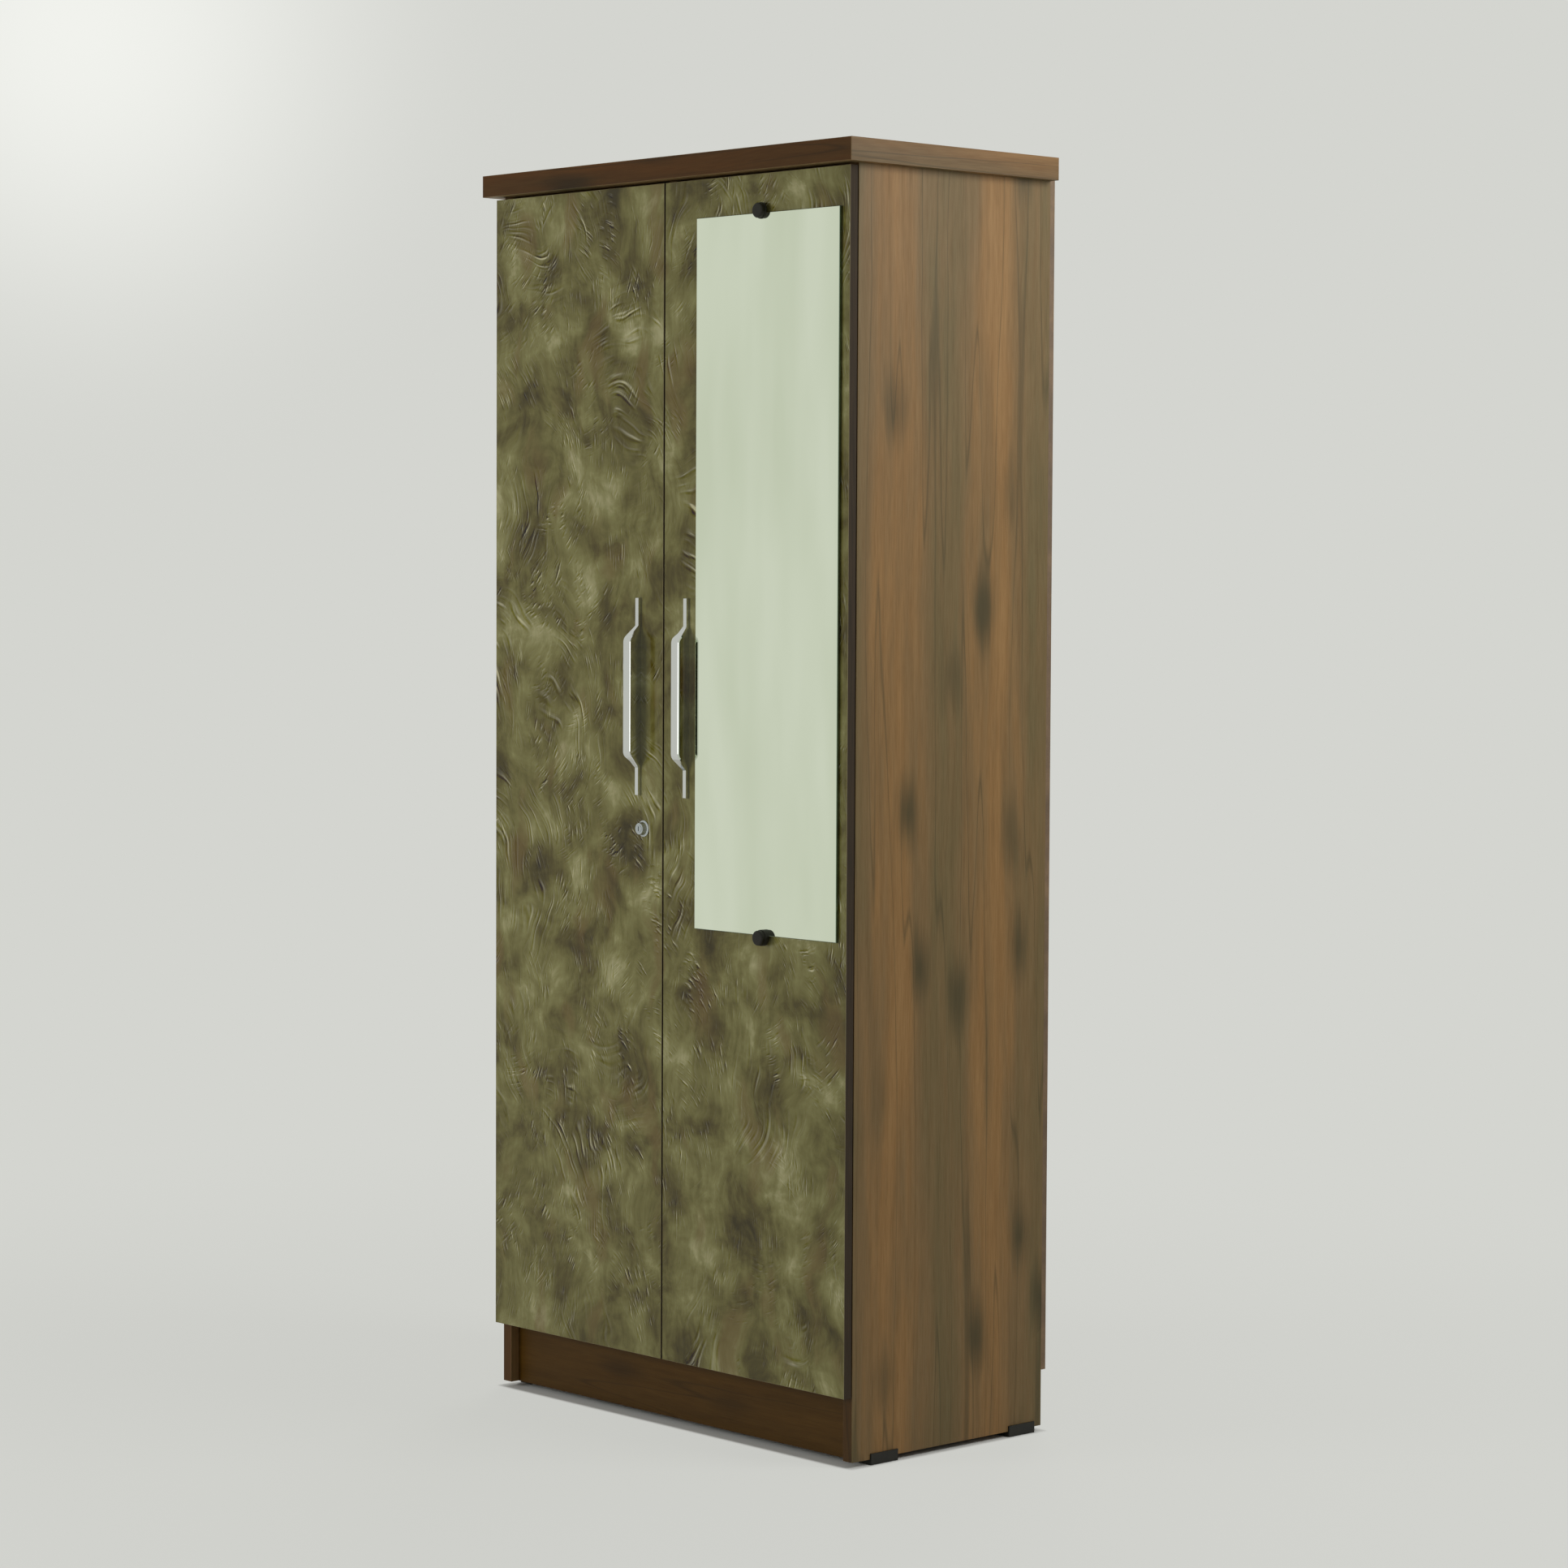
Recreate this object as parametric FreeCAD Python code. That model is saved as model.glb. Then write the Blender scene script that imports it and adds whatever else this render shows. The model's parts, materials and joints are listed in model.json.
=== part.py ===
import FreeCAD
import Part
import math
import os

from FreeCAD import Vector

# Two-door wardrobe in laminated board, millimetres.
# X runs left to right, Y runs from the doors to the back, Z runs up from the floor.
# Shapes are drawn with Y = 0 on the side panels' front edges and moved at the end, so that
# the origin lies on the floor at the centre of the whole wardrobe.

# --- cabinet -------------------------------------------------------------------------------
overall_height = 1830.0
top_width = 800.0
top_thickness = 32.0
top_side_overhang = 16.0
top_front_overhang = 30.0
side_depth = 378.0
side_thickness = 18.0
bottom_thickness = 18.0
partition_thickness = 18.0
plinth_thickness = 18.0
plinth_height = 92.0
plinth_setback = 15.0
back_thickness = 9.0
back_drop = 11.0
back_lap_on_top = 20.0
edge_round = 0.8

# --- feet ----------------------------------------------------------------------------------
foot_base = 8.0
foot_length = 53.0
foot_lip_thickness = 2.5
foot_lip_height = 8.0
foot_inner_width = 22.0
front_foot_setback = 35.0
rear_foot_setback = 14.5
foot_nail_radius = 1.2
foot_nail_head_radius = 2.6
foot_nail_head_height = 1.4
foot_nail_length = 20.0
foot_nail_inset = 12.0
foot_nail_recess = 2.0

# --- doors ---------------------------------------------------------------------------------
door_thickness = 14.0
door_gap = 2.0
door_centre_gap = 3.0
door_drop = 1.0
door_top_gap = 4.0
door_opening = 95.0
bumper_radius = 4.0
bumper_clearance = 0.3
bumper_inset = 7.5
bumper_end_distance = 30.0

# --- shelves and hanging rail --------------------------------------------------------------
shelf_thickness = 16.0
shelf_setback = 20.0
shelf_side_clearance = 1.0
shelf_back_clearance = 1.0
left_shelf_count = 4
hat_shelf_below_top = 318.0
shoe_shelf_above_bottom = 312.0
pin_radius = 2.5
pin_depth = 8.0
pin_reach = 7.0
pin_from_front = 60.0
pin_from_back = 48.0
rail_radius = 12.5
rail_wall = 1.2
rail_below_hat_shelf = 60.0
socket_base = 2.5
socket_depth = 12.0
socket_wall = 2.5
socket_clearance = 0.1
socket_plate_width = 30.0
socket_screw_gap = 2.1
socket_plate_margin = 2.2
rail_end_clearance = 0.5

# --- knock-down fittings -------------------------------------------------------------------
cam_radius = 7.5
cam_depth = 12.5
cam_edge_distance = 34.0
cam_slot_width = 7.2
bolt_radius = 3.0
bolt_embedment = 12.0
cam_from_front = 55.0
cam_from_back = 55.0
dowel_radius = 4.0
dowel_in_face = 11.0
dowel_in_edge = 18.0
dowel_from_front = 120.0
dowel_from_back = 120.0
plinth_dowel_inset = 26.0
back_screw_radius = 1.6
back_screw_head_radius = 3.2
back_screw_length = 26.0
back_screw_pitch = 240.0
back_screw_end_distance = 50.0

# --- small pan-head screws -----------------------------------------------------------------
screw_radius = 1.75
screw_head_radius = 3.8
screw_head_height = 1.6
screw_bite = 11.0

# --- handles -------------------------------------------------------------------------------
handle_length = 286.0
handle_body_length = 206.0
handle_centre_height = 1059.0
handle_from_centre = 52.5
handle_tail_width = 6.8
handle_tail_depth = 5.5
handle_proud = 25.0
handle_face_width = 15.6
handle_face_thickness = 2.8
handle_slope_radius = 12.0
handle_shoulder = 15.0
handle_shoulder_radius = 12.0
handle_edge_bevel = 0.7
handle_screw_radius = 2.0
handle_screw_head_radius = 4.0
handle_screw_head_height = 2.4
handle_screw_bite = 4.0

# --- lock ----------------------------------------------------------------------------------
lock_from_centre = 42.5
lock_below_handle = 48.0
lock_rose_radius = 11.8
lock_rose_edge = 1.0
lock_rose_thickness = 2.4
lock_collar_base_radius = 9.6
lock_collar_front_radius = 8.2
lock_collar_proud = 9.0
lock_body_radius = 9.4
lock_body_behind_door = 7.0
lock_plug_radius = 5.2
lock_plug_proud = 10.0
lock_plug_rim_round = 0.8
lock_running_clearance = 0.05
lock_nut_across_flats = 24.0
lock_nut_thickness = 4.0
cam_plate_thickness = 2.0
cam_plate_width = 13.0
cam_plate_tip_gap = 5.5
cam_plate_standoff = 0.3
key_slot_width = 1.6
key_slot_height = 7.0
key_slot_depth = 3.0
keeper_thickness = 1.6
keeper_lip = 12.0
keeper_height = 32.0
keeper_depth = 24.0
keeper_clearance = 1.0
keeper_screw_spacing = 18.0
keeper_screw_from_lip = 15.6
keeper_corner_radius = 3.0
keeper_room = 2.0

# --- mirror --------------------------------------------------------------------------------
mirror_thickness = 4.0
mirror_edge_margin = 15.5
mirror_beside_handle = 22.0
mirror_below_door_top = 55.0
mirror_above_door_bottom = 632.0
mirror_bevel = 0.6
tape_thickness = 1.0
tape_width = 20.0
tape_inset = 25.0
clip_stem_radius = 2.6
clip_stem_gap = 0.3
clip_radius = 11.5
top_clip_thickness = 9.0
bottom_clip_thickness = 13.5
clip_cap_thickness = 7.0
clip_cap_step = 0.9
clip_rounding = 2.6
clip_base_rounding = 0.6
top_clip_offset = -11.5
clip_screw_bite = 10.0

# --- four-bar concealed hinges -------------------------------------------------------------
hinge_count = 4
hinge_end_distance = 90.0
cup_radius = 17.5
cup_depth = 11.0
cup_wall = 1.0
cup_edge_margin = 3.0
flange_thickness = 1.2
flange_overlap = 0.8
cup_screw_spacing = 45.0
cup_screw_offset = 9.5
cup_screw_ear = 6.0
rim_notch_start = 3.2
rim_notch_depth = 3.0
rim_notch_half_width = 8.4
# pivots, measured from the side panel's inner face and front edge
outer_arm_pivot_height = 7.0
outer_arm_pivot_forward = 3.0
inner_arm_pivot_height = 16.6
inner_arm_pivot_back = 10.5
# pivots, measured from the door's hinge edge and its inner face
outer_cup_pivot_from_edge = 9.5
outer_cup_pivot_depth = 5.0
inner_cup_pivot_from_edge = 8.2
inner_cup_pivot_depth = 0.5
# bends of the two links, measured as the arm pivots are
outer_knee_height = 0.4
outer_knee_forward = 10.2
inner_knee_height = 2.5
inner_knee_forward = 3.2
link_half_width = 1.4
inner_link_half_width = 1.5
arm_rivet_radius = 1.4
cup_pin_radius = 1.2
inner_cup_pin_radius = 1.0
link_eye_wall = 0.9
pin_running_clearance = 0.05
open_pivot_play = 1.95
open_pivot_clearance = 0.75
rivet_head_radius = 2.5
rivet_head_height = 0.5
rivet_start = 5.7
inner_pin_overrun = 0.4
inner_link_half_thickness = 3.2
lug_inner = 3.8
lug_outer = 5.2
outer_link_inner = 6.0
outer_link_outer = 7.4
arm_cheek_inner = 7.8
arm_cheek_outer = 9.0
arm_tip_radius = 3.0
arm_nose_height = 23.0
arm_nose_front = 6.0
arm_nose_back = 18.0
arm_tail_height = 17.2
arm_tail_start = 26.0
arm_tail_end = 60.0
arm_skirt_height = 3.0
arm_wall = 1.2
plate_screw_line = 37.0
plate_screw_spacing = 32.0
plate_thickness = 1.8
plate_wing_depth = 16.0
plate_block_start = 27.0
plate_block_end = 57.0
plate_block_half_width = 7.4
arm_screw_line = 44.0
arm_screw_radius = 2.0
arm_screw_bite = 9.0

# --- places worked out from the sizes above --------------------------------------------------
carcass_half_width = top_width / 2 - top_side_overhang
inner_half_width = carcass_half_width - side_thickness
side_bottom = foot_base
side_top = overall_height - top_thickness
floor_board_bottom = side_bottom + plinth_height
floor_board_top = floor_board_bottom + bottom_thickness
partition_face = partition_thickness / 2
door_bottom = floor_board_bottom - door_drop
door_top = side_top - door_top_gap
door_inner_face = -door_gap
door_front_face = -door_gap - door_thickness
door_free_edge = door_centre_gap / 2
back_rear = side_depth + back_thickness
depth_centre = (door_front_face - handle_proud + back_rear) / 2

hinge_first = door_bottom + hinge_end_distance
hinge_last = door_top - hinge_end_distance
hinge_pitch = (hinge_last - hinge_first) / (hinge_count - 1)
hinge_heights = [hinge_first + i * hinge_pitch for i in range(hinge_count)]
left_shelf_pitch = (side_top - floor_board_top - left_shelf_count * shelf_thickness) / (left_shelf_count + 1)
left_shelf_heights = [
    floor_board_top + (i + 1) * left_shelf_pitch + i * shelf_thickness for i in range(left_shelf_count)
]
hat_shelf_height = side_top - hat_shelf_below_top
shoe_shelf_height = floor_board_top + shoe_shelf_above_bottom
rail_height = hat_shelf_height - rail_below_hat_shelf
rail_depth = side_depth / 2
lock_height = handle_centre_height - handle_length / 2 - lock_below_handle
cam_plate_reach = lock_from_centre - partition_face - cam_plate_tip_gap
cam_plate_front = door_inner_face + lock_body_behind_door + cam_plate_standoff
keeper_lip_back = cam_plate_front - keeper_clearance
keeper_lip_front = keeper_lip_back - keeper_thickness

ALONG_X = Vector(1, 0, 0)
ALONG_Y = Vector(0, 1, 0)
ALONG_Z = Vector(0, 0, 1)


def block(x_pair, y_pair, z_pair):
    size = Vector(x_pair[1] - x_pair[0], y_pair[1] - y_pair[0], z_pair[1] - z_pair[0])
    return Part.makeBox(size.x, size.y, size.z, Vector(x_pair[0], y_pair[0], z_pair[0]))


def rod(start, direction, radius, length):
    return Part.makeCylinder(radius, length, start, direction)


def cut_all(shape, tools):
    if not tools:
        return shape
    return shape.cut(Part.makeCompound(tools))


def mirrored(shapes):
    return [shape.mirror(Vector(0, 0, 0), ALONG_X) for shape in shapes]


def upright_slab(outline, z_pair):
    """Flat piece cut to a plan outline of (x, y) points and standing from one height to the other."""
    points = [Vector(x, y, z_pair[0]) for x, y in outline]
    wire = Part.makePolygon(points + [points[0]])
    return Part.Face(wire).extrude(Vector(0, 0, z_pair[1] - z_pair[0]))


def softened_board(x_pair, y_pair, z_pair):
    """Board with its long edges along the front eased, as edge banding leaves them."""
    board = block(x_pair, y_pair, z_pair)
    front_edges = [edge for edge in board.Edges if edge.BoundBox.YMax - y_pair[0] < edge_round / 2]
    return board.makeFillet(edge_round, front_edges)


def pan_screw(seat, direction, shank_length):
    """Pan-head screw whose head sits on the seat and whose shank runs along the direction."""
    shank = rod(seat, direction, screw_radius, shank_length)
    head = rod(seat - direction * screw_head_height, direction, screw_head_radius, screw_head_height)
    rim = [edge for edge in head.Edges if edge.Length > 5 * screw_head_height and
           edge.CenterOfMass.distanceToPoint(seat - direction * screw_head_height) < screw_head_height / 4]
    head = head.makeFillet(screw_head_height / 2, rim)
    return head.fuse(shank)


# --- knock-down fittings: every fitting is listed with the holes that it needs ----------------
holes = {"side": [], "top": [], "bottom": [], "partition": [], "plinth": [], "back": [], "door": []}
cam_discs = []
cam_bolts = []
dowels = []


def add_cam(centre, disc_axis, bolt_axis, board_thickness, disc_board, bolt_board):
    """Round cam let into a board's face, and its bolt running out through that board's edge."""
    disc = rod(centre, disc_axis, cam_radius, cam_depth)
    bolt_start = centre + disc_axis * (board_thickness / 2)
    bolt = rod(bolt_start, bolt_axis, bolt_radius, cam_edge_distance + bolt_embedment)
    bore = rod(bolt_start, bolt_axis, bolt_radius, cam_edge_distance + bolt_embedment)
    slot = rod(bolt_start - bolt_axis * bolt_radius, bolt_axis, cam_slot_width / 2, 2 * cam_radius)
    cam_discs.append(disc.cut(slot))
    cam_bolts.append(bolt)
    holes[disc_board] += [disc, bore]
    holes[bolt_board].append(bore)


def add_dowel(joint, into_edge, edge_board, face_board):
    """Beech dowel across a joint: a long half in one board's edge and a short half in the other's face."""
    start = joint - into_edge * dowel_in_face
    dowel = rod(start, into_edge, dowel_radius, dowel_in_face + dowel_in_edge)
    dowels.append(dowel)
    holes[edge_board].append(dowel)
    holes[face_board].append(dowel)


def fit_carcass():
    mid_side = carcass_half_width - side_thickness / 2
    mid_floor = floor_board_bottom + bottom_thickness / 2
    cam_lines = (cam_from_front, side_depth - cam_from_back)
    dowel_lines = (dowel_from_front, side_depth - dowel_from_back)
    for side in (-1, 1):
        outward = Vector(side, 0, 0)
        for y in cam_lines:
            top_cam = Vector(side * inner_half_width, y, side_top - cam_edge_distance)
            add_cam(top_cam, outward, ALONG_Z, side_thickness, "side", "top")
            floor_cam = Vector(side * (inner_half_width - cam_edge_distance), y, floor_board_bottom)
            add_cam(floor_cam, ALONG_Z, outward, bottom_thickness, "bottom", "side")
        for y in dowel_lines:
            add_dowel(Vector(side * mid_side, y, side_top), -ALONG_Z, "side", "top")
            add_dowel(Vector(side * inner_half_width, y, mid_floor), -outward, "bottom", "side")
        for y in (plinth_setback + plinth_thickness / 2, side_depth - plinth_thickness / 2):
            for z in (side_bottom + plinth_dowel_inset, floor_board_bottom - plinth_dowel_inset):
                add_dowel(Vector(side * inner_half_width, y, z), -outward, "plinth", "side")
    for y in dowel_lines:
        add_dowel(Vector(0, y, floor_board_top), ALONG_Z, "partition", "bottom")
        add_dowel(Vector(0, y, side_top), -ALONG_Z, "partition", "top")


# --- back panel screws ------------------------------------------------------------------------
def countersunk_screw(x, z):
    start = Vector(x, back_rear, z)
    head_height = back_screw_head_radius - back_screw_radius
    head = Part.makeCone(back_screw_head_radius, back_screw_radius, head_height, start, -ALONG_Y)
    return head.fuse(rod(start, -ALONG_Y, back_screw_radius, back_screw_length))


def evenly_spaced(low, high, pitch):
    count = max(1, round((high - low) / pitch))
    return [low + i * (high - low) / count for i in range(count + 1)]


def make_back_screws():
    low = floor_board_bottom + back_screw_end_distance
    high = side_top - back_screw_end_distance
    mid_side = carcass_half_width - side_thickness / 2
    screws = []
    for z in evenly_spaced(low, high, back_screw_pitch):
        for x, board in ((-mid_side, "side"), (mid_side, "side"), (0, "partition")):
            screw = countersunk_screw(x, z)
            screws.append(screw)
            holes[board].append(screw)
    rows = (
        (floor_board_bottom + bottom_thickness / 2, "bottom"),
        (side_top + back_lap_on_top / 2, "top"),
    )
    span = inner_half_width - back_screw_end_distance
    for z, board in rows:
        for x in evenly_spaced(-span, span, back_screw_pitch):
            screw = countersunk_screw(x, z)
            screws.append(screw)
            holes[board].append(screw)
    holes["back"] += screws
    return screws


# --- shelves ------------------------------------------------------------------------------------
def make_shelf(x_low, x_high, height):
    x_pair = (x_low + shelf_side_clearance, x_high - shelf_side_clearance)
    y_pair = (shelf_setback, side_depth - shelf_back_clearance)
    return softened_board(x_pair, y_pair, (height, height + shelf_thickness))


def make_left_shelf(height):
    """Left shelf, notched at the partition if its height meets the lock keeper."""
    half_height = keeper_height / 2 + keeper_room
    notch = block(
        (-partition_face - keeper_thickness - screw_head_height - keeper_room, -partition_face),
        (keeper_lip_front, keeper_lip_front + keeper_depth + keeper_room),
        (lock_height - half_height, lock_height + half_height),
    )
    return make_shelf(-inner_half_width, -partition_face, height).cut(notch)


def make_shelf_pins(x_low, x_high, low_board, high_board, height):
    pins = []
    z = height - pin_radius
    for y in (pin_from_front, side_depth - pin_from_back):
        low_pin = rod(Vector(x_low - pin_depth, y, z), ALONG_X, pin_radius, pin_depth + pin_reach)
        high_pin = rod(Vector(x_high - pin_reach, y, z), ALONG_X, pin_radius, pin_depth + pin_reach)
        holes[low_board].append(low_pin)
        holes[high_board].append(high_pin)
        pins += [low_pin, high_pin]
    return pins


# --- hanging rail -------------------------------------------------------------------------------
def make_rail():
    start = partition_face + socket_base + rail_end_clearance
    length = inner_half_width - socket_base - rail_end_clearance - start
    base = Vector(start, rail_depth, rail_height)
    tube = rod(base, ALONG_X, rail_radius, length)
    return tube.cut(rod(base, ALONG_X, rail_radius - rail_wall, length))


def make_socket(face_x, inward, board, screws):
    """Flanged socket that holds one end of the rail, with its two screws."""
    centre = Vector(face_x, rail_depth, rail_height)
    seat_radius = rail_radius + socket_clearance
    screw_offset = seat_radius + socket_wall + socket_screw_gap + screw_head_radius
    half_width = socket_plate_width / 2
    half_height = screw_offset + screw_head_radius + socket_plate_margin
    x_pair = sorted((face_x, face_x + inward.x * socket_base))
    y_pair = (rail_depth - half_width, rail_depth + half_width)
    plate = block(x_pair, y_pair, (rail_height - half_height, rail_height + half_height))
    corners = [edge for edge in plate.Edges if abs(edge.BoundBox.XLength - socket_base) < 0.01]
    plate = plate.makeFillet(socket_wall * 2, corners)
    ring = rod(centre, inward, seat_radius + socket_wall, socket_base + socket_depth)
    seat = rod(centre + inward * socket_base, inward, seat_radius, socket_depth)
    socket = plate.fuse(ring).cut(seat)
    for dz in (-screw_offset, screw_offset):
        head_seat = Vector(face_x + inward.x * socket_base, rail_depth, rail_height + dz)
        screw = pan_screw(head_seat, -inward, socket_base + screw_bite)
        socket = socket.cut(screw)
        holes[board].append(screw)
        screws.append(screw)
    return socket


# --- feet ---------------------------------------------------------------------------------------
def make_foot(front_y, nails):
    """Black L-shaped shoe under the right side panel, with its two nails."""
    y_pair = (front_y, front_y + foot_length)
    outer = carcass_half_width + foot_lip_thickness
    inner = carcass_half_width - foot_inner_width
    base = block((inner, outer), y_pair, (0, foot_base))
    lip = block((carcass_half_width, outer), y_pair, (0, foot_base + foot_lip_height))
    foot = base.fuse(lip).removeSplitter()
    ends = [
        edge for edge in foot.Edges
        if edge.BoundBox.ZLength > foot_base / 2 and edge.BoundBox.XMin > outer - foot_lip_thickness / 2
    ]
    foot = foot.makeFillet(foot_lip_thickness / 2, ends)
    for y in (front_y + foot_nail_inset, front_y + foot_length - foot_nail_inset):
        head_base = Vector(carcass_half_width - side_thickness / 2, y, foot_nail_recess)
        head = rod(head_base, ALONG_Z, foot_nail_head_radius, foot_nail_head_height)
        nail = head.fuse(rod(head_base, ALONG_Z, foot_nail_radius, foot_nail_length))
        recess = rod(Vector(head_base.x, y, 0), ALONG_Z, foot_nail_head_radius, foot_nail_recess)
        foot = foot.cut(nail).cut(recess)
        holes["side"].append(nail)
        holes["side"] += mirrored([nail])
        nails.append(nail)
    return foot


# --- handles ------------------------------------------------------------------------------------
def bow(depth, reach, width, bend_radius):
    """Solid whose side view is the handle's bow: flat in front, sloping back to the tails at 45 degrees."""
    y_door = door_front_face
    y_tail = door_front_face - handle_tail_depth
    y_face = door_front_face - depth
    run = depth - handle_tail_depth
    outline = [(y_door, reach), (y_tail, reach), (y_face, reach - run)]
    outline += [(y, -z) for y, z in reversed(outline)]
    x = handle_from_centre - width / 2
    points = [Vector(x, y, handle_centre_height + z) for y, z in outline]
    solid = Part.Face(Part.makePolygon(points + [points[0]])).extrude(Vector(width, 0, 0))
    bends = [
        edge for edge in solid.Edges
        if edge.BoundBox.XLength > width / 2 and edge.BoundBox.YMax < y_face + 0.1
    ]
    return solid.makeFillet(bend_radius, bends)


def make_handle():
    """Chrome pull of T section for the right door: a thin web carrying a broader face."""
    x = handle_from_centre
    half_body = handle_body_length / 2
    half_length = handle_length / 2
    half_tail = handle_tail_width / 2
    half_face = handle_face_width / 2
    y_face = door_front_face - handle_proud
    web = bow(handle_proud, half_body, handle_tail_width, handle_slope_radius)
    outer = bow(handle_proud, half_body, handle_face_width, handle_slope_radius)
    inner = bow(
        handle_proud - handle_face_thickness, half_body - handle_face_thickness * math.sqrt(2),
        handle_face_width, handle_slope_radius - handle_face_thickness,
    )
    # seen from the front the face narrows to the tails over sloping shoulders
    corner = half_body - handle_shoulder
    outline = [(half_face, -corner), (half_face, corner), (half_tail, half_body)]
    outline += [(-across, -along) for across, along in outline]
    points = [Vector(x + across, y_face, handle_centre_height + along) for across, along in outline]
    plan = Part.Face(Part.makePolygon(points + [points[0]])).extrude(Vector(0, handle_proud, 0))
    shoulders = [
        edge for edge in plan.Edges
        if edge.BoundBox.YLength > handle_proud / 2 and abs(edge.CenterOfMass.x - x) > half_face - 0.1
    ]
    plan = plan.makeFillet(handle_shoulder_radius, shoulders)
    face = outer.cut(inner).common(plan)
    long_edges = [
        edge for edge in face.Edges
        if edge.BoundBox.YMax < y_face + 0.1 and edge.BoundBox.ZLength > half_body
    ]
    face = face.makeChamfer(handle_edge_bevel, long_edges)
    tail_y = (door_front_face - handle_tail_depth, door_front_face)
    tail = block(
        (x - half_tail, x + half_tail), tail_y,
        (handle_centre_height - half_length, handle_centre_height + half_length),
    )
    tail_ends = [
        edge for edge in tail.Edges
        if edge.BoundBox.XLength > half_tail and edge.BoundBox.YMax < tail_y[0] + 0.1
    ]
    tail = tail.makeFillet(handle_tail_width / 4, tail_ends)
    return face.fuse([web, tail]).removeSplitter()


def make_handle_screws():
    screws = []
    tail_middle = (handle_body_length + handle_length) / 4
    for z in (handle_centre_height - tail_middle, handle_centre_height + tail_middle):
        seat = Vector(handle_from_centre, door_inner_face, z)
        shank = rod(seat, -ALONG_Y, handle_screw_radius, door_thickness + handle_screw_bite)
        head = rod(seat, ALONG_Y, handle_screw_head_radius, handle_screw_head_height)
        screws.append(shank.fuse(head))
    return screws


# --- four-bar concealed hinges, drawn for the right door at height 0 ---------------------------------
def arm_point(height, back):
    """Point measured from the right side panel's inner face and front edge."""
    return Vector(inner_half_width - height, back, 0)


def door_point(from_edge, depth):
    """Point measured from the right door's hinge edge and inner face."""
    return Vector(carcass_half_width - from_edge, door_inner_face - depth, 0)


outer_arm_pivot = arm_point(outer_arm_pivot_height, -outer_arm_pivot_forward)
inner_arm_pivot = arm_point(inner_arm_pivot_height, inner_arm_pivot_back)
outer_cup_pivot = door_point(outer_cup_pivot_from_edge, outer_cup_pivot_depth)
inner_cup_pivot = door_point(inner_cup_pivot_from_edge, inner_cup_pivot_depth)
outer_knee = arm_point(outer_knee_height, -outer_knee_forward)
inner_knee = arm_point(inner_knee_height, -inner_knee_forward)
cup_centre = door_point(cup_edge_margin + cup_radius, 0)


def bar(start, end, half_width, z_low, z_high):
    """Straight strip between two points with round ends."""
    along = (end - start).normalize()
    across = Vector(-along.y, along.x, 0) * half_width
    outline = [start + across, end + across, end - across, start - across]
    strip = upright_slab([(point.x, point.y) for point in outline], (z_low, z_high))
    ends = [rod(Vector(p.x, p.y, z_low), ALONG_Z, half_width, z_high - z_low) for p in (start, end)]
    return strip.fuse(ends)


def eye(centre, radius, z_low, z_high):
    return rod(Vector(centre.x, centre.y, z_low), ALONG_Z, radius, z_high - z_low)


def make_outer_link():
    """Two bent cheeks on one pair of pivots."""
    cheeks = []
    for z_low, z_high in ((outer_link_inner, outer_link_outer), (-outer_link_outer, -outer_link_inner)):
        cheek = bar(outer_arm_pivot, outer_knee, link_half_width, z_low, z_high)
        cheek = cheek.fuse([
            bar(outer_knee, outer_cup_pivot, link_half_width, z_low, z_high),
            eye(outer_arm_pivot, arm_rivet_radius + link_eye_wall, z_low, z_high),
            eye(outer_cup_pivot, cup_pin_radius + link_eye_wall, z_low, z_high),
        ])
        cheek = cheek.cut(eye(outer_arm_pivot, arm_rivet_radius + pin_running_clearance, z_low, z_high))
        cheek = cheek.cut(eye(outer_cup_pivot, cup_pin_radius + pin_running_clearance, z_low, z_high))
        cheeks.append(cheek.removeSplitter())
    return cheeks


def make_inner_link():
    """Single bent strip, held by the cup's pin; its eye on the arm's pin is a short slot, the open pivot."""
    z_pair = (-inner_link_half_thickness, inner_link_half_thickness)
    slot_end = inner_arm_pivot + Vector(1, -1, 0).normalize() * open_pivot_play
    slot_half_width = arm_rivet_radius + open_pivot_clearance
    eye_radius = inner_cup_pin_radius + link_eye_wall
    link = bar(inner_arm_pivot, inner_knee, inner_link_half_width, *z_pair)
    link = link.fuse([
        bar(inner_knee, inner_cup_pivot, inner_link_half_width, *z_pair),
        bar(inner_arm_pivot, slot_end, slot_half_width + link_eye_wall, *z_pair),
        eye(inner_cup_pivot, eye_radius, *z_pair),
    ])
    link = link.cut(bar(inner_arm_pivot, slot_end, slot_half_width, *z_pair))
    link = link.cut(eye(inner_cup_pivot, inner_cup_pin_radius + pin_running_clearance, *z_pair))
    return link.removeSplitter()


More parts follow.
